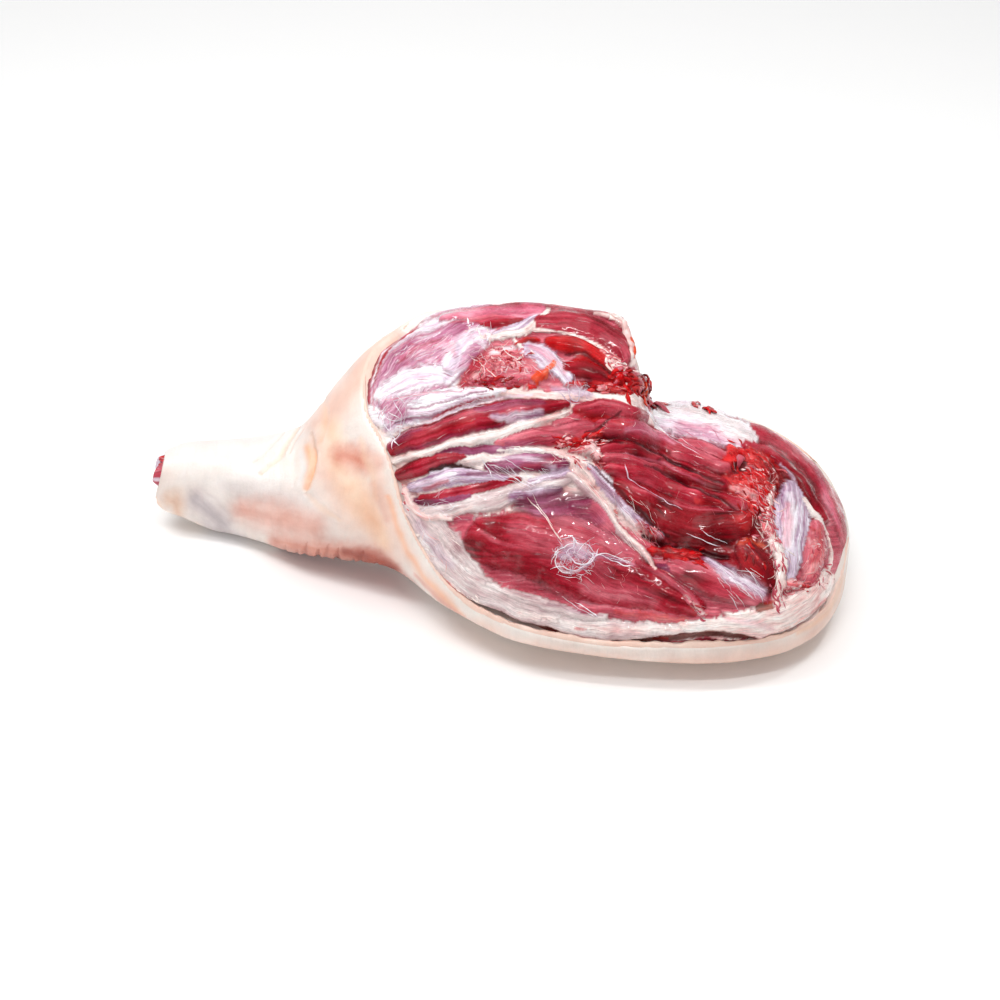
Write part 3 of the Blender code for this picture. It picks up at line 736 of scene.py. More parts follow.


# ---- what lies on the leg, seen from the cut side
# a hollow in the middle lobe, darkened with painted shade
# cracks and seams between the lobes, cut in and darkened with painted shade
# more seams, a gap and a crease, cut in and darkened with painted shade
# painted highlights: pale pink lines along the lobes' crests
# painted shade among the red lumps
# painted shade in the knuckle's hole
# painted shade: a dark spot in the torn patch
# slits in the rim fat, their insides darkened with painted shade
# the dark lobe's split and foot, cut in and darkened with painted shade
STROKES = strokes("""
# grounds under the seams
ground, knee: FAT 0: -90 120 60,-20 100,60 80 50
ground, rump: DEEP 0: 110 110 50,180 60 72,210 50 60
back of the crest: BROWN 3: 20 232 24,70 230 26,104 212 18
back of the knee: MOTTLED 3: -60 222 26,-20 230
back of the rump: SILVER 2.5: 132 150 18,180 142,220 128 12
# the dome: kneecap sheet, top band and thigh wedge
kneecap: MOTTLED 6.5: -80 136 29,-60 160 34,-26 180 22
- gleam: SILVER 0 .95 .6: -92 136 8,-70 146 12,-48 151 11,-34 148 5
- streak: SILVER 0 .9 .7: -40 160 6,-28 172 8,-16 184,-4 191 4
- lilac: SHEEN 0 .7 .9: -40 150 5,-32 162 6,-30 172 4
- crown: SILVER 0 .95 .8: -101 144 3,-95 166 7,-80 184 11,-54 196 10,-26 202 5
- rim: RED 0 .9 .7: -98 114 3,-102 130 4,-103 149,-98 168 3.2,-86 184 2.4,-66 196 1.6
- arc, outer: PINK -.5 .6 .8: -97 136 .8,-90 160 1.3,-72 178 1.5,-44 190 1
- arc, inner: ROSE -.4 .55 .9: -76 160 1.4,-62 172 2.4,-42 181 1.6
- arc, right: PURPLE -.4 .6 .9: -38 142 1.2,-30 152 1.8,-24 158 1.2
- arc, low: PINK -.4 .5 .8: -84 124 .8,-72 134 1.2,-54 138 1,-30 140 .8
- blush: PINK 0 .5 1: -74 164 5,-58 172 8,-40 176 7,-34 166 4
- bruise: PURPLE 0 .5 .9: -96 112 4,-90 120 5,-92 132 3
silver sheet: SILVER 5: -96 122 12,-60 129 14,-22 135 8,8 138 3
sheet thread, top: PINK -.6 .6: -88 132 .7,-56 137 .9,-20 140 .7
sheet shine: SHEEN 0 .7 .8: -86 112 4,-50 119 5,-14 129 2
sheet thread, upper: PURPLE -.8 .7: -66 124 .8,-34 132 1,-6 137 .8
sheet thread, middle: PURPLE -.8 .7: -80 114 .8,-50 121 1.1,-18 130 .8
sheet thread, lower: RED -1 .85: -60 115 1,-28 127 1.6,0 133 1.2
top band: PINK 4.8: -44 200 2,-30 201 6,-8 203 9,34 206 8
-: BRIGHT 0 .6 1: -36 194 4,-12 198 6,14 198 5
- pale: PINK 0 .7 1: -34 203 4,0 206 6,30 205 5
- line: ROSE -.6 .7: -52 203 .8,-24 208 1.2,10 211 1.4,36 210 1
- lens: RED 4.6: -12 193 2,2 195 4,20 198 2.5
diagonal film: SHEEN 4.4: 0 186 4,16 190 6,32 199 4
thigh wedge: BROWN 6.8: 36 195 8,66 194 14,92 181 13,104 168 6
wedge, purple foot: ROSE 0 .7 1: 84 180 5,94 174 8,103 166 5
wedge, bright top: RED 0 .5 .9: 52 204 3,72 202 4,88 192 3
wedge fringe: FAT 6: 80 207 1,92 203 1.8,103 192 2.6,109 176,110 162 2
-: PINK 0 .5 .9: 98 202 1.5,106 190 2.2,109 178 1.4
wedge shade: RED 0 .5 .8: 72 186 4,92 172 5,100 162 4
cream diagonal: FAT 4.8: 42 206 2.4,34 196 4,26 189,10 186 3.5,-6 182 3
wedge seam: FAT 3.8: 26 188 1.5,50 187 1.3,68 181 1.2,82 174 1.4,94 166 2.4
# the torn joint side of the dome
torn patch: ROSE 3.6: -22 148 8,0 160 18,26 160 17
- raw: TORN 0 .7 .9: -16 152 7,4 164 13,24 162 11
-: SILVER 0 .6 .9: -16 182 5,-2 172,14 176 4
-: RED 0 .85 .6: -26 150 5,-16 158 6,-8 170 4,-2 174 3
- ring: BRIGHT 0 .6 .8: 2 174 1.5,10 168 2,12 158 1.5
- low: RED 0 .8 .6: -28 146 4,-8 145 5,14 145 4,26 147 3
- dark: GAP 0 .55 .9: -22 154 2,-10 155 1.5
- flap: FAT 4.2: 14 182 1.5,22 172 2.2,18 164 1.5
dome fascia: SHEEN 4.8: 24 172 7,40 166 10,56 151 6
-: ROSE 0 .6 .9: 18 170 3,30 160 4,40 150 3
- blush: PINK 0 .7 1: 28 174 4,42 166 6,54 154 4
- red tip: BRIGHT 4.4: 16 178 2,24 181 3,34 180 2
- fleck: ROSE 0 .7 .8: 20 162 2.5,28 158 3,34 154 2
orange knob: ORANGE 5.8: 33 149 4.4,37 151,43 157 3,47 162 2
-: BLOOD 0 .5 .9: 34 147 2.4,40 150 1.4
dark lobe, upper: BRIGHT 6: 44 179 5,62 176 8,80 166 7,90 158 3
dark lobe, lower: DEEP 6.2: 56 158 6.5,70 158 9.5,88 150 6
-: BRIGHT 0 .6 .9: 58 162 3,70 164 4,82 158 2
dark lobe, split: GAP -1.6 .7: 56 170 .8,70 168 1.2,84 158,92 150 .8
dark lobe, foot: GAP -1 .6: 60 149 1,76 146 1.6,88 146 1
ragged tuft: TORN_RED 6.6: 90 150 7,106 152 9,122 144 7
- low: TORN_RED 4.4: 58 146 4,78 143 5,100 140
tuft fat: TORN 5.6: 84 170 4,91 163 5,99 158
joint fat: FAT 3.8: -14 138 2,20 136 4,58 137 5,90 133,118 127,128 112 3
-: SHEEN 0 .75 .8: 46 142 4,60 140 6,74 136 4
-: ORANGE 0 .3 .9: 22 133 2.2,34 131 2
- spot: BLOOD 3.9: 28 143 2.6,31 143 2.2
- end: FAT 4.6: 106 136 5,118 128 6,126 114 5,134 106 2
# the long bands from the knee
long band: RED 6.8: -82 94 8,-60 102 11,-30 112 11.5,4 121 10.5,34 127 8,56 130 3
- foot shade: PURPLE 0 .6 .9: -80 88 2,-40 100 2.4,0 111 2,36 120 1.6
-: ROSE 0 .7 1: -70 100 5,-40 113 7,-10 123 6,16 127 4
- root: PURPLE 0 .75 1: -86 96 5,-72 101 6,-58 107 3
- root sheen: SHEEN 0 .6 .9: -86 101 2,-72 106 3,-58 112 1.6
-: BRIGHT 0 .35 .9: -62 102 4,-40 109 5,-18 114 4
-: PURPLE 0 .8 .8: -14 124 5,10 128 8,36 130 5
-: SHEEN 0 .75 .8: -4 118 3,14 117 5,34 122 4
- edge: SILVER 0 .6: -92 106 1.2,-50 118 1.4,-12 130 1.2,28 136 1
- upper groove: DEEP -2 .8: -84 104 1,-50 114 1.6,-14 126 1.5,14 131 .8
long seam: FAT 6.2: -82 82 2.6,-40 94 3.3,-10 101 3.6,16 109 3.4,40 118 2.4,56 124 1.2
- shade: GAP -1.6 .45: -70 81 .6,-40 90 .9,-12 96,10 101 .6
strip: PURPLE 3.6: -46 90 2,-14 93 4,14 95 3
pink fan: ROSE 5.2: 2 99 4,32 103 9,66 108 14
-: PURPLE 0 .6 .9: 8 98 2,24 97 4,40 96 3
-: RED 0 .6 .9: 30 97 3,50 98 6,72 106 10
- streak: DEEP 0 .6 .8: 28 108 .8,46 106 1.2,60 103 .8
- tip: ROSE 5: 46 114 4,60 117 5,72 122 4
red stub: RED 6.2: -79 72 5,-60 79 7.5,-40 84 6,-24 87 3
stub cap: BROWN 0 .6 .8: -80 70 3,-72 68 4,-66 74 3
stub fat: FAT 4.2: -26 83 2,-8 87 3.4,8 85 2
stub shade: GAP -4 .95: -52 76 1.4,-32 79 2.6,-16 77 3,-6 74 1.6
silver strip: SHEEN 5.2: -66 63 5,-46 69 7.5,-20 72 7,6 70 4
- gleam: SILVER 0 .8 .8: -60 66 2.4,-44 71 3.2,-30 73 2
- line: PURPLE -.6 .6 .8: -66 60 .7,-50 65 1,-34 66 .7
-: ROSE 0 .75 .8: -56 62 2,-46 66 3,-36 68 2
- dark: PURPLE 0 .75 .8: -20 73 2.5,0 74 4,16 74 3
low strip: RED 4.4: -60 55 3,-30 60 4.5,0 66 4,18 70 2
-: PURPLE 3.8: -68 52 3,-46 54 4.5,-20 57 3
purple band: PURPLE 5.2: -4 80 5,24 83 9,54 82
-: SHEEN 0 .55 .9: 0 86 3,24 86 4,46 78
-: RED 0 .5 .9: 22 78 4,36 82 5,50 84 4
- seam: FAT 4.6: 2 93 1,24 93 1.6,44 90 1.8,58 86 3
knot fat: FAT 4.8: 48 90 3,58 84 5,68 78,76 66 2.5
knot: TORN_RED 5.4: 52 97 4,66 99 6,80 104 4
-: BLOOD 0 .75 .8: 46 97 2.5,60 98 4.5,74 98 3
- flesh: TORN 5: 60 92 4,74 94 5,80 88 3
membrane: SUET 4.2: -64 44 5,-35 47 6.5,0 55 8.5,30 62,60 71 5
-: SHEEN 0 .95 .8: 14 56 7,32 57 8,50 60 6
- violet: PURPLE 0 .95 1: 24 54 4,38 56 5,52 60 4
- sheen: SHEEN 0 .95 .7: 26 67 5,44 72 6,62 77 4
- streak: PURPLE 0 .6 .8: 34 68 1,46 70 1.5,58 70 1
- fold: FAT 0 .8 .7: -60 42 2.5,-40 41,-20 48 2
shoulder fat: SUET 4: -66 40 8,-50 32 13,-36 16 14,-20 -4 10
- cream: FAT 0 .6 .9: -60 28 4,-46 12 6,-28 -8 5
- violet: PURPLE 0 .4 1: -38 40 2,-28 38 3,-16 40 2
- fold: PINK -.8 .5 .9: -50 26 .8,-42 14 1.2,-32 4 .8
great muscle, shoulder: ROSE 6: 62 46 8,76 44 10,88 34 8
# the great muscle and the seams on its right
great muscle: RED 9: -6 22 21,46 16 35,94 -6 29,150 -28 12
-: DEEP 0 .4 1: -12 34 12,4 18 18,24 2 14
- slant: DEEP -.8 .6 .8: -18 36 1,-6 28 1.6,10 22 1
- slant, low: DEEP -.8 .6 .8: -14 22 1,0 13 1.6,16 6 1
- slant, pale: ROSE 0 .6 .9: -14 30 1.4,2 22 2.2,22 14 1.4
- middle: ROSE 0 .8 1: 14 30 10,40 22 18,62 10 16,84 -4 10
- top: PURPLE 0 .95 .7: 20 50 9,50 50 13,66 52 11
-: ROSE 0 .9 .9: 50 36 13,80 24 24,104 6 12
- smooth: BROWN 0 .4 1: 60 32 8,82 22 14,100 10 8
- veil: PINK 0 .25 1: 66 40 8,84 28 13,100 14 8
- mauve: PURPLE 0 .6 1: 30 50 9,54 46 14,78 40 9
- low: ROSE 0 .7 .8: 70 -14 9,96 -18 12,120 -24 9
- pink edge: PINK 0 .7 .9: 66 -26 3,100 -35 5,140 -38 4
lace: SHEEN 0 .7 .8: 52 10 6,60 14 10,68 10 7
- ring: SILVER 0 .6 .9: 46 4 1.2,52 -3 1.6,62 -3,72 4 1.4,75 12 1
- tail: SHEEN 0 .5 1: 72 10 3,88 7,106 2 2
pink band: ROSE 5.4: 66 -29 4,112 -34 8,168 -36 7
- warm: ORANGE 0 .3 1: 92 -33 3,118 -36 5,146 -38 4
ridge: ROSE 9.6: 108 4 2.5,132 -9 4,150 -22 5,156 -34 3
- fat: FAT 0 .6 .8: 144 -20 2,152 -28 3,158 -36 2.5
- tip: BRIGHT 0 .5 .8: 146 -24 1.6,152 -34 2.6
cream seam: SUET 6: 58 72 3,80 50 4,102 24 4.5,118 6 3
- blush: PINK 0 .25 .9: 62 66 2,82 44 3,104 20 2.4
- line: FAT 0 .95: 60 78 2.8,74 62 2.6,92 38,112 14 2.4,122 0 1.6
blue strip: SHEEN 5.4: 72 80 5.5,90 61 8,110 42 7.5,126 29 5
- dark: PURPLE 0 .55 .9: 70 78 3,84 64 4,96 50 3
- cream: FAT 0 .75 .8: 88 48 4,104 38 6,118 27 5
- gleam: SILVER 0 .9 .6: 84 76 2,100 58 3,118 41 3.4,130 28 2
-: BLOOD 0 .75 .8: 91 46 2,93 44 1.8
- wet end: TORN 0 .8 .8: 114 34 6,124 26
- red end: TORN_RED 0 .8 .8: 120 30 4,128 22 5
# the red lobes
upper lobe: BROWN 6.4: 66 124 7,90 127 9,116 118 7
- glow: BRIGHT 0 .75 .8: 64 122 4,76 118 5,88 118 3
strap lobe: BROWN 6.8: 84 110 8,112 109 11,146 93 9,182 80 5
-: BRIGHT 0 .6 .8: 90 114 2,104 112 4,112 110 3
- edge: ROSE 0 .8 .8: 124 112 2,144 99 4,170 86
- pale: PINK 0 .95 1: 102 107 4,114 109 7,126 104 5,140 97 3
middle lobe: RED 6.4: 84 94 5,112 95 7,142 80,178 68 5
-: DEEP 0 .95 .8: 84 98 3.4,112 98 4.4,136 90 3.4
small lobe: BROWN 6.4: 86 86 4,106 84 6,128 76,150 70 3
inner lobe: RED 6.8: 88 78 5,114 74 8,148 60 8.5,190 52 6
-: DEEP 0 .95 .7: 132 77 3.4,150 68 4.6,170 63 4
- wet: TORN_RED 0 .75 .8: 156 54 2.5,166 52 3.5,178 52 3
middle lobe, hollow: GAP -1 .6 .9: 128 84 1.6,140 82 3,152 76 1.8
lower lobe: DEEP 8.2: 98 62 11,124 46 18,152 36,190 38 12
-: RED 0 .6 .8: 92 74 4,108 62 6,120 54 5
- light: BROWN 0 .45 .9: 140 52 4,156 48 5,176 46 4
- dark: DEEP 0 .7 .9: 112 50 5,138 34 8,170 26 6
- end: TORN_RED 0 .55 .8: 184 38 7,192 34 8,196 46 6
lobe crack: GAP -1.6 .85: 70 106 1,80 108 1.4,88 116 1.2,98 122 .8
lobe seam, upper: GAP -3 .8 .6: 78 101 1.2,104 100 1.8,122 92,140 82 2,160 73 1.6,178 66 1
lobe seam, deep: GAP -3.2 .8 .6: 116 80 1,134 73 1.6,152 64 2.2,170 56 1.8,184 48 1
lobe seam, strap: DEEP -2.2 .8 .7: 92 119 .8,112 117 1.4,132 108,150 99 .8
lobe crest, strap: PINK 0 .55 .9: 98 114 .8,116 113 1.3,136 103,158 92 .8
lobe crest, middle: PINK 0 .5 .9: 100 90 .8,122 85 1.2,142 76,164 67 .8
lobe crest, lower: ROSE 0 .55 1: 104 64 1.2,124 55 2,148 48,176 45 1.2
lobe seam, left: GAP -1.8 .8: 72 84 1.2,84 72 1.8,100 55,116 40,132 26 1.2
vessel gap: GAP -2.4 .75: 70 101 2,84 98 3,98 97 1.6
lower crease: GAP -4 .9: 114 28 2,134 18 3,156 15 2.6,178 12 2
crease blood: BLOOD 4.2: 120 15 4.5,140 12 6.5,154 9 5
crease flesh: TORN_RED 0 .7 .8: 118 24 4,136 12 5,152 6 4
crease shade: PURPLE 3.8: 124 2 4,144 0 6,162 8 4
# the right: white sheet, joint, straps and the round end
white sheet: SILVER 5.2: 130 122 11,160 117 17,200 107 12
- grain: MOTTLED 0 .7 1: 134 112 8,160 108 11,190 100 8,208 95 6
- warm: SUET 0 .7 1: 150 128 7,176 120 10,204 106 8
-: PINK 0 .4 .9: 146 116 3,170 110 5,196 100 4
- cream: FAT 0 .5 .9: 180 108 4,204 100 5,216 92 3
sheet lens: ROSE 4.8: 146 103 3,166 97 5,186 88 3
-: RED 0 .75 .8: 148 105 2,158 103
- small: ROSE 4.6: 138 115 2.2,152 112 2.8
sheet seam: SILVER 5.6: 118 126 2,130 110,146 96 1.8,162 88 1.2
knuckle: TORN_RED 5.6: 188 90 11,206 76 20,203 54 15
-: BLOOD 0 .85 .7: 202 76 8,208 70 7
- fibres: TORN_RED 0 .8 .9: 180 74 6,194 60 9,206 50 8,212 40 4
- glow: BLOOD 0 .75 .9: 182 86 9,198 74 14,206 56 9
- streaks: TORN 0 .7 .9: 184 66 2,198 58 3,212 46 2
- root: BRIGHT 0 .6 .9: 212 92 4,224 82 5,230 72 3
- top: BLOOD 5.9: 186 93 3,200 90 4,214 86 3
- dark hole: GAP -4 .95: 189 79 4.4,195 79
- fat: FAT 5: 216 66 3,214 52 4,208 42 3
- edge: TORN 4.8: 210 56 3,214 44 4,210 32,216 24 3
outer strap: BROWN 6.2: 208 112 6,230 102 8,250 86 8.5,270 60 9,281 24 8
- line: DEEP 0 .7 .8: 224 98 1.2,244 82 1.6,258 62 1.2
- pale: PINK 0 .6 .9: 230 104 2,252 86 3,266 56 3.4,274 32 2.4
- edge: FAT 0 .5 .9: 226 111 .8,250 96 1.2,270 68 .8
inner strap: RED 5.8: 198 100 5,226 90 6.5,246 68 7,262 38 4
strap groove: GAP -2.2 .75: 222 95 1.2,240 80 2,252 62 1.8,258 50 1.2
strap root: DEEP 5.4: 228 80 4,238 68 6,246 54 4
-: SHEEN 0 .6 .9: 226 84 1.4,232 74 2,236 64 1.4
blue fascia: SHEEN 4.4: 235 62 13,233 42 18,229 18 14,226 -4 7
- gleam: SILVER 0 .75 .9: 230 58 5,231 42 7,228 20 5
- fleck: TORN 0 .5 .9: 224 44 1.4,224 30 2.2,222 16 1.6
- blush: PINK 0 .65 1: 228 50 4,228 36 6,226 20 4
fascia seam: FAT 5.4: 212 44 2.5,214 28 3.5,219 8 5.5,217 -10,214 -26 4
end seam: FAT 5.6: 242 54 3,248 46 3.4,256 36 3,264 16,262 0 2
round muscle: ROSE 6.8: 252 30 10,250 10 14,244 -6 9
- warm: ORANGE 0 .25 1: 252 26 6,250 8 9,244 -4 6
- grain: TORN 0 .4 .9: 246 24 7,250 8 9,240 -4 6
- spot: BRIGHT 0 .7 .8: 248 30 2,246 34 1.6
- foot: TORN 5.6: 226 -12 5,236 -14 6,246 -10 4
red lumps: DEEP 6.6: 192 18 10,201 4 13,210 -12 7
- lit: BRIGHT 0 .4 .8: 188 14 4,194 6 5,200 -4 3
- dark: GAP 0 .6 .9: 204 2 2.5,208 -12 4,210 -18 2.5
- crest: ORANGE 0 .5 .9: 186 22 2,196 24 4,208 20 3
streaked muscle: ROSE 5.8: 138 2 9,166 -7 15,200 -22 9
-: RED 0 .9 .8: 146 -6 8,166 -12 12,188 -20 7
silver fan: SHEEN 0 .92 .8: 164 8 5,182 -4 10,202 -18 7
- gleam: SILVER 0 .7 .9: 172 0 1.2,182 -8 2.4,190 -16 1.2
# the fat along the near rim
rim fat, left: SUET 6: -72 46 7,-54 22 13,-36 0 14,-6 -20 13,44 -38 10
rim fat, grey film: SHEEN 0 .35 .9: -60 36 5,-48 16 8,-34 2 6
rim fat, cream edge: FAT 0 .9 .7: -78 46 5,-66 20,-48 -4 4.5,-24 -24 3.5
rim fat, top fold: FAT 6.6: -72 60 4,-66 48,-52 41 3,-34 40 2
rim fat, blood: BLOOD 0 .75 .8: -46 -2 1.4,-36 -14 2.4,-24 -24,-14 -30 1.4
rim fat, middle: SUET 6: 36 -38 10,70 -45 9.5,108 -48 9,150 -48 8
- cream: FAT 0 .75 .9: 20 -32 4,60 -42 5,100 -46,140 -46
rim fat, fold: SUET 6.4: -6 -12 3,20 -22 4.5,50 -30 5,84 -38 3
rim fat, purple line: PURPLE 0 .6 .8: 40 -26 2,60 -30 2.4,82 -36 1.4
rim fat, blood specks: BLOOD 0 .6 .8: 62 -44 2,70 -45 1.6
rim fat, blood line: BLOOD 0 .6 .8: 60 -51 1.2,74 -54 1.6
rim fat, right: FAT 6.6: 146 -44 8,180 -44 12,212 -38 15,240 -28 16,258 -8 10
-: PINK 0 .35 .9: 176 -38 3,196 -40 5,210 -44 3
rim pit: SLIT -2.4 .95: 202 -30 3.5,210 -27
-: BLOOD 0 .6 .8: 206 -26 2.2,212 -24 2
rim line: SLIT -1.8 .6 .9: 204 -51 1,226 -46 1.8,246 -35 2,262 -21 1.7,271 -4 .9
- warm: ORANGE 0 .35 1: 216 -46 1.6,240 -35 2.2,260 -18 1.4
rim slit, left: SLIT -5 .9: -18 -28 2,2 -37 4.6,26 -44 3.6,46 -49 2
-: GAP 0 .6 .9: -12 -30 1,6 -35 1.6,26 -41 1
rim slit, middle: SLIT -5 .9: 100 -58 1.6,124 -54 3,148 -51 3.4,170 -50 3,196 -54 1.6
-: GAP 0 .6 .9: 118 -53 .8,148 -49 1.6,176 -50 .8
rim slit, blood: BLOOD 0 .65 .8: 120 -55 2,130 -54
# flesh just inside the skin's edge
edge flesh: ROSE 3.6: -66 192 2,-84 176 3.4,-95 156,-97 132 2.4,-93 116 1.6
-: BRIGHT 0 .5 .8: -88 170 1.2,-97 148 1.6,-96 124 1.2
""")


class Paint:
    """Relief, colour, wetness and fibre directions of a field of points, laid on in strokes."""

    WAVES = ((1.5, 17.0), (0.35, 4.5))
    OVERLAP = 0.8
    TATTER = 2.6
    OWN_FIBRES = 0.9

    def __init__(self, x: Array, height: Array, ground: Tissue,
                 waves: float = 1.0, directed: bool = True) -> None:
        """Spread the ground.

        Args:
            x: length along the leg.
            height: height on the butcher's plane.
            ground: the tissue under all strokes.
            waves: how wavy the outlines are.
            directed: whether the fibres turn with the strokes.
        """
        self.directed = directed
        self.shape = x.shape
        x, height = x.ravel(), height.ravel()
        drift = [sum(waves * size * NOISE.layered(x / pitch + shift, height / pitch + 7.0, octaves=2)
                     for size, pitch in self.WAVES) for shift in (0.0, 31.0)]
        self.x, self.height = x + drift[0], height + drift[1]
        self.along, self.across = self.x.copy(), self.height.copy()
        finish = ground.value
        self.level = -SEAM_DEPTH + finish.relief(self.x, self.height, self.x, self.height)
        self.colour = finish.colour(self.x, self.height, self.x, self.height)
        self.traits = np.tile(finish.traits(), (len(x), 1))

    def lay(self, stroke: Stroke) -> None:
        """Lay one stroke on: a raised one is round and covers, a flat one tints, a groove cuts in.

        Args:
            stroke: the stroke.
        """
        line, widths = stroke.fine_path()
        finish = stroke.tissue.value
        reach = widths.max() * (1.0 + 1.5 * finish.ragged)
        low, high = line.min(axis=0) - reach, line.max(axis=0) + reach
        near = np.flatnonzero((self.x > low[0]) & (self.x < high[0])
                              & (self.height > low[1]) & (self.height < high[1]))
        x, height = self.x[near], self.height[near]
        share, along, across = stroke.trace(x, height)
        torn = NOISE.layered(x / self.TATTER, height / self.TATTER, octaves=3)
        share = np.abs(share + finish.ragged * torn)
        along = along + 1.7 * line[0, 0] + 3.1 * line[0, 1]
        roundness = np.clip(1.0 - share**2, 0.0, None)
        cover = smooth_step((1.0 - share) / stroke.softness)
        fine = finish.relief(along, across, x, height) * cover
        if stroke.height > 0:
            body = stroke.height * roundness**finish.swell - SEAM_DEPTH + fine
            cover = cover * smooth_step((body - self.level[near]) / self.OVERLAP + 0.5)
            self.level[near] = np.where(share < 1.0, np.maximum(self.level[near], body), self.level[near])
        else:
            self.level[near] += fine * stroke.strength + stroke.height * roundness**1.5
        cover = cover * stroke.strength
        colour = finish.colour(along, across, x, height)
        # painted shade: a raised stroke's colour darkens towards its edges, where they dip into the seams
        if stroke.height > 0:
            colour = colour * (1.0 - finish.shade * smooth_step((share - 0.6) / 0.4))[:, None]
        self.colour[near] = blend(self.colour[near], colour, cover[:, None])
        self.traits[near] = blend(self.traits[near], finish.traits(), cover[:, None])
        if self.directed and (stroke.height != 0 or stroke.strength > self.OWN_FIBRES):
            mostly = near[cover > 0.5]
            self.along[mostly], self.across[mostly] = along[cover > 0.5], across[cover > 0.5]

    def fields(self) -> dict[str, Array]:
        """What the materials read, over the shape of the points."""
        return {
            "paint": self.colour.reshape(*self.shape, 3),
            "fibre": np.stack([self.along, self.across, self.traits[:, 0]], -1).reshape(*self.shape, 3),
            "look": self.traits[:, 1:].reshape(*self.shape, 3),
        }


# ---- materials
def operator(operation: str, reflected: bool = False) -> Callable:
    """A method that puts a socket and a value through a Math node.

    Args:
        operation: the node's operation.
        reflected: whether the value stands before the socket.

    Returns:
        The method.
    """
    def method(self: "Socket", other: "Socket | float") -> "Socket":
        """The node's result."""
        return self.maths(operation, *((other, self) if reflected else (self, other)))

    return method


class Socket:
    """A node's output that can be reckoned with."""

    def __init__(self, graph: "Graph", output: bpy.types.NodeSocket) -> None:
        """Keep the output and the graph that it belongs to."""
        self.graph = graph
        self.output = output

    def maths(self, operation: str, *values: "Socket | float") -> "Socket":
        """A Math node's result.

        Args:
            operation: the node's operation.
            values: its inputs, in order.

        Returns:
            The result.
        """
        return self.graph.node("ShaderNodeMath", {"operation": operation}, dict(enumerate(values)))

    __add__, __radd__ = operator("ADD"), operator("ADD", True)
    __sub__, __rsub__ = operator("SUBTRACT"), operator("SUBTRACT", True)
    __mul__, __rmul__ = operator("MULTIPLY"), operator("MULTIPLY", True)
    __truediv__, __rtruediv__ = operator("DIVIDE"), operator("DIVIDE", True)

    def within(self, low: float, high: float) -> "Socket":
        """This, kept between two bounds."""
        return self.maths("MINIMUM", self.maths("MAXIMUM", self, low), high)

    def step(self, low: float, high: float) -> "Socket":
        """Nothing up to the low bound, one from the high bound on and even between."""
        return ((self - low) / (high - low)).within(0.0, 1.0)


class Graph:
    """A material's nodes."""

    def __init__(self, name: str) -> None:
        """Make a material with one Principled shader, by its name."""
        self.material = bpy.data.materials.new(name)
        self.material.use_nodes = True
        self.tree = self.material.node_tree
        self.shader = self.tree.nodes["Principled BSDF"]

    def node(self, kind: str, settings: dict | None = None, inputs: dict | None = None,
             output: str | int = 0) -> Socket:
        """Add a node.

        Args:
            kind: the node's type.
            settings: properties to set on it.
            inputs: values or sockets by input name or number.
            output: which output is wanted.

        Returns:
            That output.
        """
        made = self.tree.nodes.new(kind)
        for label, value in (settings or {}).items():
            setattr(made, label, value)
        for label, value in (inputs or {}).items():
            self.feed(made.inputs[label], value)
        return Socket(self, made.outputs[output])

    def feed(self, socket: bpy.types.NodeSocket, value: "Socket | float | tuple") -> None:
        """Link a socket to another, or set it to a constant."""
        if isinstance(value, Socket):
            self.tree.links.new(value.output, socket)
        else:
            socket.default_value = value

    def set_shader(self, **values: "Socket | float | tuple") -> None:
        """Feed the Principled shader's sockets, named with underscores for spaces."""
        for label, value in values.items():
            self.feed(self.shader.inputs[label.replace("_", " ")], value)

    def attribute(self, name: str, output: str) -> Socket:
        """A value that the mesh carries."""
        return self.node("ShaderNodeAttribute", {"attribute_name": name}, output=output)

    def parts(self, vector: Socket) -> list[Socket]:
        """The three numbers of a vector."""
        split = self.node("ShaderNodeSeparateXYZ", inputs={"Vector": vector})
        return [Socket(self, output) for output in split.output.node.outputs]

    def joined(self, *parts: Socket | float) -> Socket:
        """A vector of three numbers."""
        return self.node("ShaderNodeCombineXYZ", inputs=dict(enumerate(parts)))

    def noise(self, vector: Socket, scale: float = 1.0, detail: float = 3.0) -> Socket:
        """Noise from 0 to 1, mostly near a half."""
        inputs = {"Vector": vector, "Scale": scale, "Detail": detail, "Roughness": 0.55}
        return self.node("ShaderNodeTexNoise", inputs=inputs)

    def scaled(self, colour: Socket, factor: Socket) -> Socket:
        """A colour made lighter or darker."""
        return self.node("ShaderNodeVectorMath", {"operation": "SCALE"}, {"Vector": colour, "Scale": factor})

    def mixed(self, first: Socket | tuple, second: Socket | tuple, share: Socket | float) -> Socket:
        """A mix of two colours."""
        inputs = {"Factor": share, 6: first, 7: second}
        return self.node("ShaderNodeMix", {"data_type": "RGBA"}, inputs, output=2)

    def bump(self, height: Socket, distance: float) -> Socket:
        """A normal that leans with a height, in metres at the distance given."""
        return self.node("ShaderNodeBump", inputs={"Height": height, "Distance": distance})


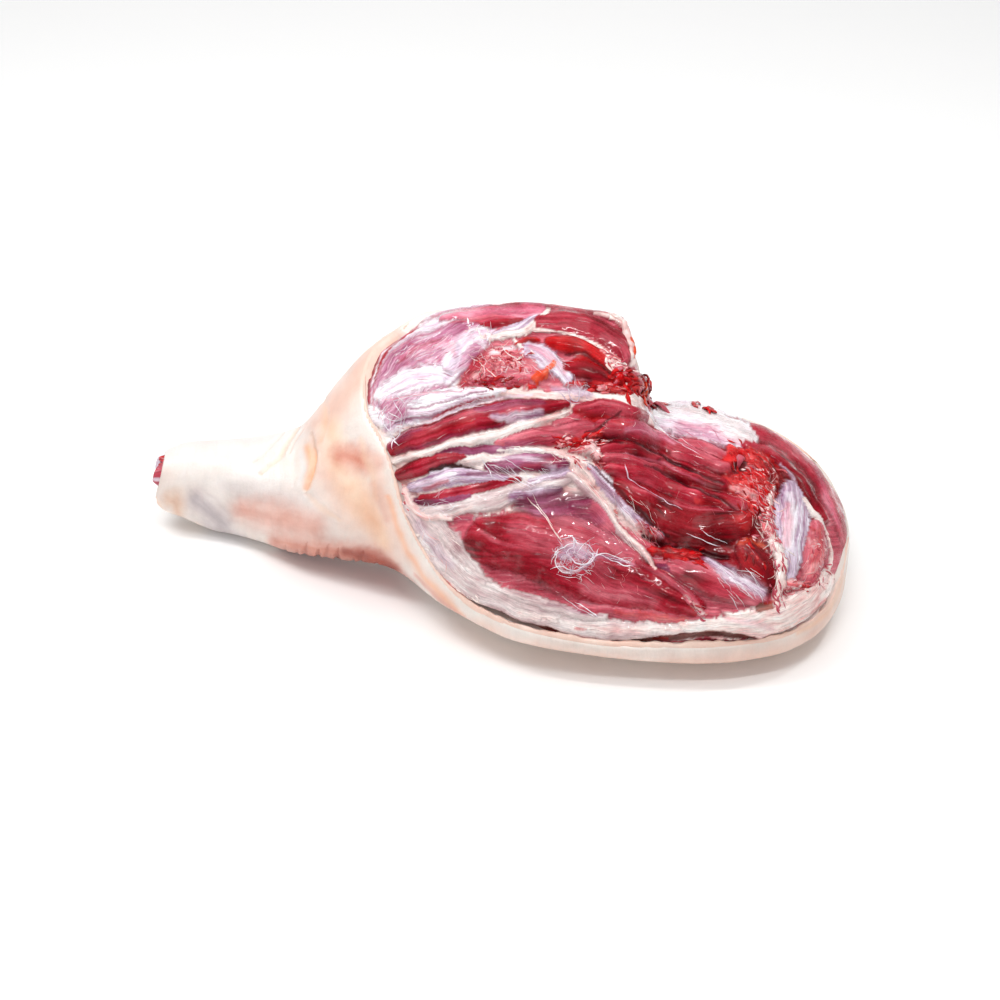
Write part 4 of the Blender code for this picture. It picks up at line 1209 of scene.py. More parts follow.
@dataclass(frozen=True)
class TissueMaterial:
    """Wet flesh, fat and silverskin: painted colours with fibres, film, threads and sparkle."""

    fibre_pitch: float = 0.75
    fibre_length: float = 13.0
    fibre_contrast: float = 2.0
    line_level: float = 0.72
    line_reach: float = 0.17
    line_edge: float = 0.05
    film_strength: float = 0.55
    film_colour: Colour = (0.84, 0.62, 0.66)
    thread_strength: float = 0.62
    thread_colour: Colour = (0.40, 0.085, 0.16)
    bump_distance: float = 0.0011
    gloss: float = 0.08
    coat: tuple[float, float] = (0.1, 0.8)
    coat_roughness: float = 0.07
    bleed: float = 0.03
    bleed_scale: float = 0.004

    def lines(self, graph: Graph, along: Socket, across: Socket, seed: float, share: Socket) -> Socket:
        """Fine lines where a noise drawn out along the fibres passes a level.

        Args:
            graph: the material's nodes.
            along: length along the fibres.
            across: distance across them.
            seed: the noise's third coordinate.
            share: how far the level sinks, from 0 to 1.

        Returns:
            Nothing between the lines and one on them.
        """
        noise = graph.noise(graph.joined(along / 22.0, across / 1.15, seed), 1.0, detail=3.0)
        return (noise - (self.line_level - share * self.line_reach)).step(0.0, self.line_edge)

    def make(self) -> Material:
        """Build the nodes.

        Streaks and fine lines run along the fibres. The bump adds grains and a slow
        unevenness, and the coat lies in pools.

        Returns:
            The material.
        """
        graph = Graph("pork flesh")
        paint = graph.attribute("paint", "Color")
        along, across, grain = graph.parts(graph.attribute("fibre", "Vector"))
        film, threads, wet = graph.parts(graph.attribute("look", "Vector"))
        place = graph.node("ShaderNodeTexCoord", output="Object")
        strand = graph.joined(along / self.fibre_length, across / self.fibre_pitch, 0.0)
        streak = graph.noise(strand, 1.0, detail=4.0)
        coarse = graph.noise(graph.joined(along / 16.0, across / 3.2, 5.0), 1.0, detail=2.0)
        speckle = graph.noise(place, 420.0, detail=3.0)
        tone = (1.0 + (streak - 0.5) * self.fibre_contrast * grain
                + (coarse - 0.5) * 0.4 + (speckle - 0.5) * 0.3)
        dark = self.lines(graph, along, across, 23.0, threads) * self.thread_strength
        # fine pale lines along the fibres: thin films of connective tissue, and in part painted highlights
        # standing in for small glints
        pale = self.lines(graph, along, across, 11.0, film) * self.film_strength
        threaded = graph.mixed(graph.scaled(paint, tone), (*self.thread_colour, 1.0), dark)
        filmed = graph.mixed(threaded, (*self.film_colour, 1.0), pale)
        ripple = graph.noise(place, 150.0, detail=3.0)
        grains = graph.noise(place, 900.0, detail=2.0)
        pools = graph.noise(place, 70.0, detail=3.0).step(0.46, 0.6)
        height = streak * 0.5 * grain + ripple * 1.1 + grains * 0.25 + coarse * 0.5 + pale * 0.35 - dark * 0.3
        low, high = self.coat
        graph.set_shader(
            Base_Color=filmed,
            Roughness=(wet + (speckle - 0.5) * 0.3).within(0.08, 0.9),
            Normal=graph.bump(height, self.bump_distance),
            Specular_IOR_Level=self.gloss,
            Coat_Weight=low + pools * (high - low), Coat_Roughness=self.coat_roughness,
            Subsurface_Weight=self.bleed, Subsurface_Scale=self.bleed_scale,
            Subsurface_Radius=(1.0, 0.35, 0.25),
        )
        return graph.material


@dataclass(frozen=True)
class RindMaterial:
    """Scalded skin: painted patches, pores and fine creases round the leg."""

    pore_scale: float = 620.0
    crease_pitch: float = 5.5
    bump_distance: float = 0.0006
    roughness: float = 0.42

    def make(self) -> Material:
        """Build the nodes.

        Returns:
            The material.
        """
        graph = Graph("pork rind")
        paint = graph.attribute("paint", "Color")
        along, across, _ = graph.parts(graph.attribute("fibre", "Vector"))
        place = graph.node("ShaderNodeTexCoord", output="Object")
        pores = graph.noise(place, self.pore_scale, detail=2.0)
        mottle = graph.noise(place, 60.0, detail=5.0)
        creases = graph.noise(graph.joined(along / self.crease_pitch, across / 40.0, 0.0), 1.0, detail=4.0)
        tone = 1.0 + (mottle - 0.5) * 0.18 + (pores - 0.5) * 0.1 + (creases - 0.5) * 0.12
        height = creases * 1.3 + mottle * 1.2 + pores * 0.35
        graph.set_shader(
            Base_Color=graph.scaled(paint, tone),
            Roughness=(self.roughness + (mottle - 0.5) * 0.3).within(0.2, 0.8),
            Normal=graph.bump(height, self.bump_distance),
            Coat_Weight=0.12, Coat_Roughness=0.3,
            Subsurface_Weight=0.08, Subsurface_Scale=0.004, Subsurface_Radius=(1.0, 0.5, 0.35),
        )
        return graph.material


# ---- the body's coverings
@dataclass(frozen=True)
class Spans:
    """A rising sequence: its start, where each stretch ends and how many steps it takes."""

    start: float
    ends: tuple[float, ...]
    counts: tuple[int, ...]

    def values(self) -> Array:
        """All values but the last end."""
        starts = (self.start, *self.ends[:-1])
        parts = [np.linspace(a, b, n, endpoint=False) for a, b, n in zip(starts, self.ends, self.counts)]
        return np.concatenate(parts)


@dataclass(frozen=True)
class RoundEnd:
    """How the rump end rounds off: where it starts, its curve and its rings."""

    start: float = 280.5
    power: float = 2.3
    rings: int = 8
    smallest: float = 0.12

    def places(self) -> Array:
        """X of the rings that close the end, crowding towards it."""
        turn = np.linspace(0.0, math.pi / 2, self.rings)
        return self.start + (HALF_LENGTH - self.start) * np.sin(turn)

    def round_off(self, points: Array) -> Array:
        """The cross-sections past the start, drawn in to their middles along a superellipse."""
        share = np.clip((points[:, 0, 0] - self.start) / (HALF_LENGTH - self.start), 0.0, 1.0)
        size = np.maximum((1.0 - share**self.power) ** (1.0 / self.power), self.smallest)
        middle = points.mean(axis=1, keepdims=True)
        rounded = middle + (points - middle) * size[:, None, None]
        rounded[:, :, 0] = points[:, :, 0]
        return rounded


END = RoundEnd()
END_FADE = 24.0
GROUND_FADE = 8.0
TUCK_LENGTH = 16.0
TUCK_CREST = 0.05
TUCK_FOOT = 0.3
SINK_FADE = 60.0


def calm(points: Array) -> Array:
    """Share of the relief that is left near the ground and near both ends."""
    off_ground = smooth_step(points[:, :, 2] / GROUND_FADE)
    return off_ground * smooth_step((HALF_LENGTH - np.abs(points[:, :, 0])) / END_FADE)


def sink_share(points: Array) -> Array:
    """Share of the full sinking under another covering, less near the small ends."""
    return 0.35 + 0.65 * smooth_step((HALF_LENGTH - np.abs(points[:, :, 0])) / SINK_FADE)


def under_crown(points: Array) -> Array:
    """The points, those near the body's top pressed down so that none passes it."""
    over = np.maximum(points[..., 2] - (CROWN_TOP - CROWN_EASE), 0.0) / CROWN_EASE
    pressed = points.copy()
    pressed[..., 2] += CROWN_EASE * (1.0 - np.exp(-over) - over)
    return pressed


def evened(values: Array, times: int) -> Array:
    """A field over the grid, evened out with its neighbours round and along, so many times."""
    for _ in range(times):
        values = values / 2 + (np.roll(values, 1, axis=1) + np.roll(values, -1, axis=1)) / 4
        padded = np.concatenate([values[:1], values, values[-1:]])
        values = values / 2 + (padded[:-2] + padded[2:]) / 4
    return values


class Meat:
    """The cut side: muscles, seams, fat and silverskin, sunk away beneath the skin."""

    PLACES = Spans(-112.0, (100.0, 131.0, 280.5), (172, 54, 110))
    ROUNDS = Spans(0.0, (0.06, 0.11, 0.72, 0.84, 1.0), (6, 16, 232, 30, 6))
    SINK = 7.0
    EDGE = 5.0
    EDGE_START = 3.0
    EVENINGS = 2

    def __init__(self) -> None:
        """Lay all strokes over the body."""
        places = np.concatenate([self.PLACES.values(), END.places()])
        self.surface = Surface(places, self.ROUNDS.values())
        self.paint = Paint(self.surface.x, self.surface.height, Tissue.ROSE)
        for stroke in STROKES:
            self.paint.lay(stroke)
        inside = self.surface.inside_skin_edge()
        shown = smooth_step((inside + self.EDGE_START) / self.EDGE)
        plain = self.surface.points
        level = evened(self.paint.level.reshape(inside.shape), self.EVENINGS)
        level = (level - MEAT_DROP) * calm(plain) * shown
        level -= (1.0 - shown) * self.SINK * sink_share(plain)
        points = plain + self.surface.normals * level[:, :, None]
        points[:, :, 2] = np.maximum(points[:, :, 2], 0.0)
        self.points = END.round_off(under_crown(points))
        self.normals = grid_normals(self.points)

    def build(self, material: Material) -> None:
        """Make the piece."""
        loft_piece("meat", self.points, self.paint.fields(), material)

    def place(self, x: Array, height: Array) -> tuple[Array, Array]:
        """Points on the finished meat and their normals.

        Args:
            x: lengths along the leg.
            height: heights on the butcher's plane.

        Returns:
            The points and the unit normals.
        """
        ring, column = self.surface.find(x, height)
        normals = sample(self.normals, ring, column)
        return sample(self.points, ring, column), normals / np.linalg.norm(normals, axis=1, keepdims=True)


RIND_STROKES = strokes("""
shank top: WHITE 0 .8 1: -284 100 26,-220 104 30,-160 110 24
shank side: WHITE 0 .5 1: -258 76 16,-220 70 20,-176 70 16
shank blue: BLUE 0 .8 1: -244 54 18,-234 44 21,-224 32 18
shank lilac: BLUE 0 .28 1: -214 62 18,-180 56 22,-148 54 16
shank blue, low: BLUE 0 .6 1: -240 34 6,-222 26 8,-206 22 6
shank pink: PINK 0 .75 1: -206 44 18,-176 38 24,-146 32 20
hock tan: TAN 0 .95 1: -274 54 12,-266 52 15,-262 38 10
hock foot: PEACH 0 .8 1: -284 44 8,-270 34 9,-250 30 8
flare cream: CREAM 0 1 1: -146 116 16,-124 132 26,-104 158 22,-84 184 14
calf cream: CREAM 0 .9 1: -140 96 26,-124 66 30,-102 36 26,-84 8 18
calf peach: PEACH 0 .8 1: -132 112 16,-120 78 22,-102 44 20,-88 20 12
calf blush: PINK 0 1 1: -122 90 15,-108 86 20,-96 82 14
- low: PINK 0 .7 1: -96 66 6,-88 50 8,-84 38 6
edge cream: CREAM 0 .8 1: -96 84 10,-84 44 12,-64 6 10,-36 -26 8
calf belly: PINK 0 .9 1: -180 18 12,-140 12 18,-100 6,-70 -14 10
calf underside: SHADE 0 .95 1: -172 2 12,-130 -6 18,-96 -8,-62 -24 11
-: SHADE 0 .85 1: -120 12 6,-100 8 12,-80 -2 7
crease, orange: ORANGE 0 .9 1: -151 96 5,-147 82 7,-150 64 5
crease, light: WHITE 0 .7 1: -157 92 4,-155 80,-158 66
crease: TAN -2.2 .6 1: -149 106 2.2,-145 92 3.6,-147 76,-151 62 2
-: ORANGE -1.4 .8 .9: -146 96 1.2,-146 84 2,-149 70 1.2
second crease: PEACH -1.7 .5 1: -162 114 2,-168 100 3,-180 86,-192 74 2
third crease: CREAM -1.5 .4 1: -172 112 1.6,-182 98 2.4,-196 86 1.6
fourth crease: CREAM -1.2 .4 1: -154 116 1.4,-160 106 2.2,-168 92 1.4
knee fold: PEACH -1.2 .5 1: -140 134 4,-136 118 5,-140 100 4
calf fold: PEACH -.8 .35 1: -150 58 3,-138 46 4,-124 38 3
flare fold: PEACH -.9 .4 1: -106 102 4,-98 78 5.5,-94 54 4
rim band: CREAM 0 .9 .9: -50 -30 10,28 -62 14,110 -74 16,190 -70,250 -48,286 -6 14
- warm: PEACH 0 .8 1: -30 -50 8,30 -76 11,120 -88 12,200 -84,262 -60 10
edge orange: ORANGE 0 .7 1: -84 56 3,-70 18 4,-48 -14 4.5,-24 -36 4
edge pink: PINK 0 .7 1: -62 -6 3,-40 -26 4,-20 -40 3
rump orange: ORANGE 0 .5 1: 230 -48 3,256 -34 3.5,272 -8 3
""", "RIND_")


def tuck_in(points: Array) -> Array:
    """The cross-sections near the hock's cut, drawn in along a quarter circle.

    They are drawn in towards their middles, by more at the foot than at the crest.
    """
    near = np.clip(1.0 - (points[..., 0] + HALF_LENGTH) / TUCK_LENGTH, 0.0, 1.0)
    middle = points.mean(axis=1, keepdims=True)
    low = smooth_step((middle[..., 2] + 14.0 - points[..., 2]) / 40.0)
    size = 1.0 - (TUCK_CREST + (TUCK_FOOT - TUCK_CREST) * low) * (1.0 - np.sqrt(1.0 - near**2))
    tucked = middle + (points - middle) * size[..., None]
    tucked[..., 0] = points[..., 0]
    return tucked


class Rind:
    """The skin all round the leg, sunk away beneath the meat."""

    PLACES = Spans(-285.0, (-236.0, -112.0, 280.5), (40, 98, 190))
    ROUNDS = Spans(0.0, (0.05, 0.11, 0.72, 0.86, 1.0), (14, 34, 132, 50, 52))
    SINK = 10.0
    EDGE = 3.5
    SEAM_FADE = 0.035
    LIP = ((0.88, -4.5), (0.90, -1.5), (0.93, 0.6), (0.97, 0.9))
    UNDER_WRINKLES = (
        (-176, 10, 0.8), (-167, 6, 1.2), (-158, 14, 1.3), (-148, 8, 2.2), (-140, 12, 0.8),
        (-132, 8, 2.4), (-121, 2, 1.2), (-112, 6, 2.0), (-100, -2, 1.0),
    )

    def __init__(self) -> None:
        """Work out the skin's relief and colours."""
        places = np.concatenate([self.PLACES.values(), END.places()])
        self.surface = Surface(places, self.ROUNDS.values())
        paint = Paint(self.surface.x, self.surface.height, Tissue.RIND, directed=False)
        for stroke in RIND_STROKES:
            paint.lay(stroke)
        for x, top, depth in self.UNDER_WRINKLES:
            path = ((x + 6, top + 6), (x + 3, top - 3), (x - 7, -16))
            paint.lay(Stroke(Tissue.RIND_SHADE, -depth, path, (0.6, 2.8, 4.8), 0.35, 1.0))
        inside = self.surface.inside_skin_edge()
        rim = SKIN_RISE * np.exp(-((inside + SKIN_STEP) / (2.0 * SKIN_STEP)) ** 2)
        level = (rim + paint.level.reshape(inside.shape) + SEAM_DEPTH - SKIN_DROP) * calm(self.surface.points)
        hidden = smooth_step(inside / self.EDGE)
        level = blend(level, -self.SINK * sink_share(self.surface.points), hidden)
        points = self.surface.points + self.surface.normals * level[:, :, None]
        points[:, :, 2] = np.maximum(points[:, :, 2], 0.0)
        points = lean_back(tuck_in(END.round_off(under_crown(points))))
        self.hock_ring = points[0]
        self.points = np.concatenate([cap_rings(points[0], self.LIP), points])
        fields = paint.fields()
        from_seam = smooth_step(self.surface.rounds / self.SEAM_FADE)[None, :, None]
        fields["paint"] = blend(fields["paint"][:, -1:], fields["paint"], from_seam)
        self.fields = {label: np.concatenate([np.repeat(values[:1], len(self.LIP), axis=0), values])
                       for label, values in fields.items()}

    def build(self, material: Material) -> None:
        """Make the piece."""
        loft_piece("rind", self.points, self.fields, material)


def cap_rings(ring: Array, profile: tuple[tuple[float, float], ...]) -> Array:
    """Rings that close the hock's cut.

    Args:
        ring: the last cross-section.
        profile: for each new ring, its share of the last one's size and its rise out of the cut.

    Returns:
        The rings, in the profile's order.
    """
    centre = ring.mean(axis=0)
    shares, rises = np.array(profile).T
    rings = centre + (ring - centre) * shares[:, None, None]
    rings[:, :, 0] -= rises[:, None]
    return rings


def tissue_fields(tissue: Tissue, along: Array, across: Array, seed: float) -> dict[str, Array]:
    """Painted values of one tissue over a grid.

    Args:
        tissue: the tissue.
        along: length along its fibres.
        across: length across them.
        seed: a shift that makes it differ from its neighbours.

    Returns:
        The values that the materials read.
    """
    finish = tissue.value
    along, across = along + 13.0 * seed, across + 5.0 * seed
    return {
        "paint": finish.colour(along, across, along, across),
        "fibre": np.stack([along, across, np.full(along.shape, finish.streak)], -1),
        "look": np.broadcast_to(finish.traits()[1:], (*along.shape, 3)),
    }


def tube(line: Array, normals: Array, half_widths: Array, flatness: float, columns: int) -> Array:
    """A flattened tube along a line.

    Args:
        line: points along its middle.
        normals: the direction in which it is flattened, at each point.
        half_widths: half its width at each point.
        flatness: its thickness over its width.
        columns: points round it.

    Returns:
        Rings by columns by XYZ.
    """
    tangents = np.gradient(line, axis=0)
    sides = np.cross(tangents, normals)
    sides /= np.linalg.norm(sides, axis=1, keepdims=True) + 1e-9
    ups = np.cross(sides, tangents)
    ups /= np.linalg.norm(ups, axis=1, keepdims=True) + 1e-9
    turn = np.linspace(0.0, 2 * math.pi, columns, endpoint=False)[None, :, None]
    across = np.cos(turn) * sides[:, None] + flatness * np.sin(turn) * ups[:, None]
    return line[:, None] + half_widths[:, None, None] * across


# ---- the smaller pieces
@dataclass(frozen=True)
class SkinRim:
    """The rolled cut edge of the skin, round the whole of the cut side."""

    thin: float = 1.7
    thick: float = 3.6
    thick_start: float = -96.0
    thick_end: float = 10.0
    depth: float = 1.1
    flatness: float = 0.72
    waviness: float = 0.9
    step: float = 1.2
    columns: int = 18
    slim_start: float = 110.0
    slim_end: float = 170.0
    slimming: float = 0.45
    far_stop: float = 22.0
    seed: float = 3.0

    def line(self, surface: Surface) -> Array:
        """The edge on the butcher's plane, from the rump round to the rump on the far side.

        Args:
            surface: the body.

        Returns:
            Points of X and height, even by length.
        """
        edge = smooth_line(SKIN_EDGE)
        places = np.linspace(SKIN_EDGE[0][0], HALF_LENGTH - self.far_stop, 120)
        rings = np.interp(places, surface.places, np.arange(len(surface.places)))
        columns = np.interp(far_edge(places), surface.rounds, np.arange(len(surface.rounds)))
        far = sample(surface.height, rings, columns)
        climb = np.linspace(SKIN_EDGE[0][1], far[0], 20)[1:-1]
        up = np.stack([np.full(len(climb), float(SKIN_EDGE[0][0])), climb], -1)
        path = np.concatenate([edge[::-1], up, np.stack([places, far], -1)])
        steps = np.hypot(*np.diff(path, axis=0).T)
        walked = np.concatenate([[0.0], np.cumsum(steps)])
        even = np.arange(0.0, walked[-1], self.step)
        return np.stack([np.interp(even, walked, path[:, k]) for k in (0, 1)], -1)

    def build(self, surface: Surface, material: Material) -> None:
        """Make the piece.

        Args:
            surface: the body.
            material: its finish.
        """
        path = self.line(surface)
        walked = np.arange(len(path)) * self.step
        sway = self.waviness * NOISE.layered(walked / 16.0, walked * 0.0, octaves=3)
        ring, column = surface.find(path[:, 0], path[:, 1] + sway)
        middle = sample(surface.points, ring, column)
        normals = sample(surface.normals, ring, column)
        normals /= np.linalg.norm(normals, axis=1, keepdims=True)
        low = smooth_step((self.thick_end - path[:, 1]) / (self.thick_end - self.thick_start) * 1.6)
        swell = 1.0 + 0.25 * NOISE.layered(walked / 7.0 + 50.0, walked * 0.0, octaves=3)
        width = blend(self.thin, self.thick, low) * swell
        high = smooth_step((path[:, 1] - self.slim_start) / (self.slim_end - self.slim_start))
        width = width * (1.0 - self.slimming * high)
        ends = np.minimum(walked, walked[-1] - walked)
        width = width * (0.3 + 0.7 * smooth_step(ends / 12.0))
        lift = SKIN_RISE * 0.6 * (1.0 - high) - width * self.flatness * self.depth
        middle = middle + normals * lift[:, None]
        points = tube(middle, normals, width, self.flatness, self.columns)
        points[:, :, 2] = np.maximum(points[:, :, 2], 0.0)
        points = under_crown(points)
        turn = np.arange(self.columns) * 2 * math.pi / self.columns
        along = np.broadcast_to(walked[:, None], points.shape[:2])
        across = along * 0.0 + turn * self.thick
        loft_piece("skin_rim", points, tissue_fields(Tissue.RIND_CREAM, along, across, self.seed), material)


HOCK_STROKES = strokes("""
hock flesh: TORN_RED 5.4: -14 12 8,0 18,12 12 7
- pale: TORN 3.2: -16 2 5,-17 -8,-12 -16
near condyle: ROSE 8: -9 10 8.5,-9 2 8
far condyle: CARTILAGE 7.5: 9 6 8,9 -3 7.5
joint cleft: PURPLE -2 .9: 0 11 1.6,0 -12
condyle flesh: ROSE 0 .9 .7: -18 10 5,-12 12 6,-8 12 4
condyle blood: BLOOD 0 .95 .7: -17 12 4.4,-11 13 4
condyle pale: CARTILAGE 0 .85 .7: -18 4 2.4,-12 3 2.6
condyle stain: PURPLE 0 .7 .8: -15 -3 2.4,-14 -6 2.6
condyle foot: PINK 0 .8 .8: -17 -8 3,-12 -10
skin foot: RIND_PEACH 3: -22 -16 6,-12 -20 7,0 -22,14 -20 6
upper tendon: FAT 5: -1 18 3.2,2 18 3
lower tendon: FAT 4.6: -6 -17 3.6,-3 -18 3.2
- far: FAT 4.4: 7 -17 3,9 -16
""")


@dataclass(frozen=True)
class HockEnd:
    """The joint end in the hock's cut: two condyles, tendons and torn flesh."""

    rings: int = 44
    outer: float = 0.93
    inner: float = 0.02
    outer_rise: float = -4.0
    crown: float = 2.0
    relief_share: float = 0.6
    most: float = 8.4
    foot_rise: float = -2.0
    foot: tuple[float, float] = (-10.0, 2.0)

    def build(self, hock_ring: Array, material: Material) -> None:
        """Make the piece.

        Args:
            hock_ring: the skin's last cross-section.
            material: its finish.
        """
        centre = hock_ring.mean(axis=0)
        shares = np.linspace(self.outer, self.inner, self.rings)[:, None, None]
        points = centre + (hock_ring - centre) * shares
        aside, up = points[:, :, 1] - centre[1], points[:, :, 2] - centre[2]
        paint = Paint(aside, up, Tissue.ROSE, 0.35)
        for stroke in HOCK_STROKES:
            paint.lay(stroke)
        inwards = smooth_step((self.outer - shares[:, :, 0]) / 0.22)
        rise = self.crown + self.relief_share * (paint.level.reshape(aside.shape) + SEAM_DEPTH)
        rise = blend(np.full(aside.shape, self.outer_rise), np.minimum(rise, self.most), inwards)
        low, high = self.foot
        rise = blend(np.minimum(rise, self.foot_rise), rise, smooth_step((up - low) / (high - low)))
        points[:, :, 0] -= rise
        fields = {label: values[::-1] for label, values in paint.fields().items()}
        loft_piece("hock_end", points[::-1], fields, material)


@dataclass(frozen=True)
class Clump:
    """Torn strips of flesh strewn round a path, half sunk into the meat.

    The heading is the way most of them point on the butcher's plane, in degrees.
    """

    path: Path
    spread: float
    count: int
    sizes: tuple[float, float]
    tissues: tuple[Tissue, ...]
    heading: float = 0.0
    fan: float = 40.0
    lift: float = 0.3
    longest: float = 8.0

    RINGS = 17
    COLUMNS = 10
    SQUASH = 0.42
    LEAST = 0.15
    TATTER = 0.25

    def add_to(self, batch: Batch, meat: Meat, draw: np.random.Generator) -> None:
        """Strew the strips, each a flattened tube that bends, tapers and arches off the meat.

        Args:
            batch: what they are gathered in.
            meat: the meat that they lie on.
            draw: the source of random numbers.
        """
        line = smooth_line(self.path)
        walk = np.linspace(-0.5, 0.5, self.RINGS)
        turn = np.linspace(0.0, 2 * math.pi, self.COLUMNS, endpoint=False)[None, :]
        taper = (1.0 - (2.0 * np.abs(walk)) ** 2) ** 0.8 * 0.94 + 0.06
        for _ in range(self.count):
            start = line[draw.integers(0, len(line))] + draw.normal(0.0, self.spread / 2, 2)
            width = draw.uniform(*self.sizes)
            length = width * draw.uniform(3.0, self.longest)
            way = math.radians(self.heading + draw.normal(0.0, self.fan)) + draw.normal(0.0, 0.9) * walk
            x = start[0] + np.cumsum(np.cos(way)) * length / self.RINGS
            height = start[1] + np.cumsum(np.sin(way)) * length / self.RINGS
            seed = draw.uniform(0.0, 90.0)
            points, normals = meat.place(x, height)
            wave = NOISE.layered(walk * 3.0 + seed, walk * 0.0)
            arch = self.lift * width * (np.cos(math.pi * walk) + 0.8 * wave)
            half = width * taper * (1.0 + 0.3 * NOISE.layered(walk * 4.0 + seed, walk * 0.0 + 5.0))
            middle = points + normals * arch[:, None]
            rings = tube(middle, normals, np.maximum(half, self.LEAST), self.SQUASH, self.COLUMNS)
            along = np.broadcast_to(walk[:, None] * length, rings.shape[:2])
            round_x, round_y = np.cos(turn) * 1.4, np.sin(turn) * 1.4
            wander = NOISE.layered(round_x + along / 2.4 + seed, round_y + along * 0.0, octaves=3)
            middle = rings.mean(axis=1, keepdims=True)
            rings = middle + (rings - middle) * (1.0 + self.TATTER * wander)[:, :, None]
            tissue = self.tissues[draw.integers(0, len(self.tissues))]
            across = np.cos(turn) * half[:, None]
            batch.add(rings, tissue_fields(tissue, along, across, seed))


def clumps(table: str) -> list[Clump]:
    """Clumps, each row a label, the spread, count, two sizes and the rest, the tissues and the path."""
    made = []
    for _, head, tissues, path in table_rows(table):
        spread, count, small, large, *rest = map(float, head.split())
        kinds = tuple(Tissue[name] for name in tissues.split())
        made.append(Clump(path_of(path), spread, int(count), (small, large), kinds, *rest))
    return made


CLUMPS = clumps("""
wedge foot: 5 40 .6 1.4 -30 30 .15 11: TORN FAT ROSE: 84 167,90 164,96 160
notch strip: 1.6 16 .8 1.6 -14 10: TORN FAT: 90 160,102 157,114 153
notch cave: 6 40 1.2 2.4 -40: TORN_RED BLOOD BRIGHT ROSE: 90 150,102 150,112 146
notch band: 3.6 44 .9 2 8 16: TORN_RED BLOOD TORN_RED TORN: 74 142,88 141,106 142
notch flap, orange: 2 9 1.5 2.4 -84 8 .8: ORANGE TORN_RED: 117 151,118 144,119 138
notch flap, red: 3 26 1.3 2.6 -66 18 .9: ROSE BRIGHT TORN_RED: 118 154,122 150,124 142,126 136
notch tip: 1.2 6 1 1.8 0 16 .8: TORN_RED TORN: 127 134,130 134
knuckle: 15 110 .5 1.2 -44 14 .05 16: BLOOD BRIGHT TORN_RED BLOOD TORN: 188 90,206 74,202 54
- low: 8 60 .4 1 -42 14 .2 12: TORN TORN_RED ROSE: 196 62,204 50,210 38
red lumps: 6 10 .8 1.6 -50 24 .1 7: BRIGHT TORN_RED: 190 20,198 12,204 4
- edge: 2.4 16 .4 1 -10 20 .1 10: TORN ROSE: 186 24,200 27,212 22
sheet scrap: 1.8 10 1.3 2.6 -34 20 .7 5: TORN_RED BLOOD TORN: 158 136,164 131,170 128
knot: 5 50 .4 1.1 10 30 .12 12: TORN_RED TORN BLOOD RED: 46 98,64 98,82 102
- fat: 4 30 .4 1 -30 30 .1 12: FAT TORN: 56 88,70 84,80 88
torn patch: 13 130 .4 .9 -35 60 .15: TORN RED ROSE ROSE TORN_RED: -20 148,-4 156,10 166,18 158
- foot: 3 30 .8 1.6 5 20: RED TORN_RED ROSE: -24 147,-4 145,16 146
crease: 4.4 26 .6 1.4 -8 14 .1 12: TORN_RED BLOOD: 120 16,140 12,156 10
end grain: 9 50 .4 .9 -60 40 .15: ROSE TORN ROSE: 248 24,251 8,244 -6
strip end: 5 30 .3 .8 -38 20 .05 12: TORN TORN_RED ROSE: 110 36,124 26
fascia seam: 5 44 .4 1 -78 14 .15 12: TORN ROSE ROSE: 213 34,218 12,217 -8,215 -24
round muscle, foot: 4 26 .5 1.2 10: TORN TORN_RED FAT: 222 -14,234 -14,246 -12
ridge tip: 2.2 14 .7 1.4 -50 24: TORN ROSE: 146 -22,152 -29,156 -35
dome fat: 5 24 .4 1 50 40 .1: FAT SILVER: -24 190,-12 184,-6 176
left root: 4 34 .4 1.1 -70 40 .25: FAT SUET TORN: -84 82,-80 66,-76 54,-68 44
rim crumbs: 4 26 .4 1.1 -50 20 .2: FAT SUET: -70 44,-56 16,-36 -8,-8 -28
joint ball: .2 1 3.2 3.4 60 1 .2 3.2: ROSE: 191 80,191 80
""")


class TornFlesh:
    """All torn lumps, as one piece up to the notch and one from there to the rump."""

    SEED = 71
    NOTCH = 119.0

    def build(self, meat: Meat, material: Material) -> None:
        """Make both pieces."""
        draw = np.random.default_rng(self.SEED)
        batches = {"torn_flesh": Batch(), "knuckle_flesh": Batch()}
        for clump in CLUMPS:
            name = "torn_flesh" if clump.path[0][0] < self.NOTCH else "knuckle_flesh"
            clump.add_to(batches[name], meat, draw)
        for name, batch in batches.items():
            batch.build(name, material)


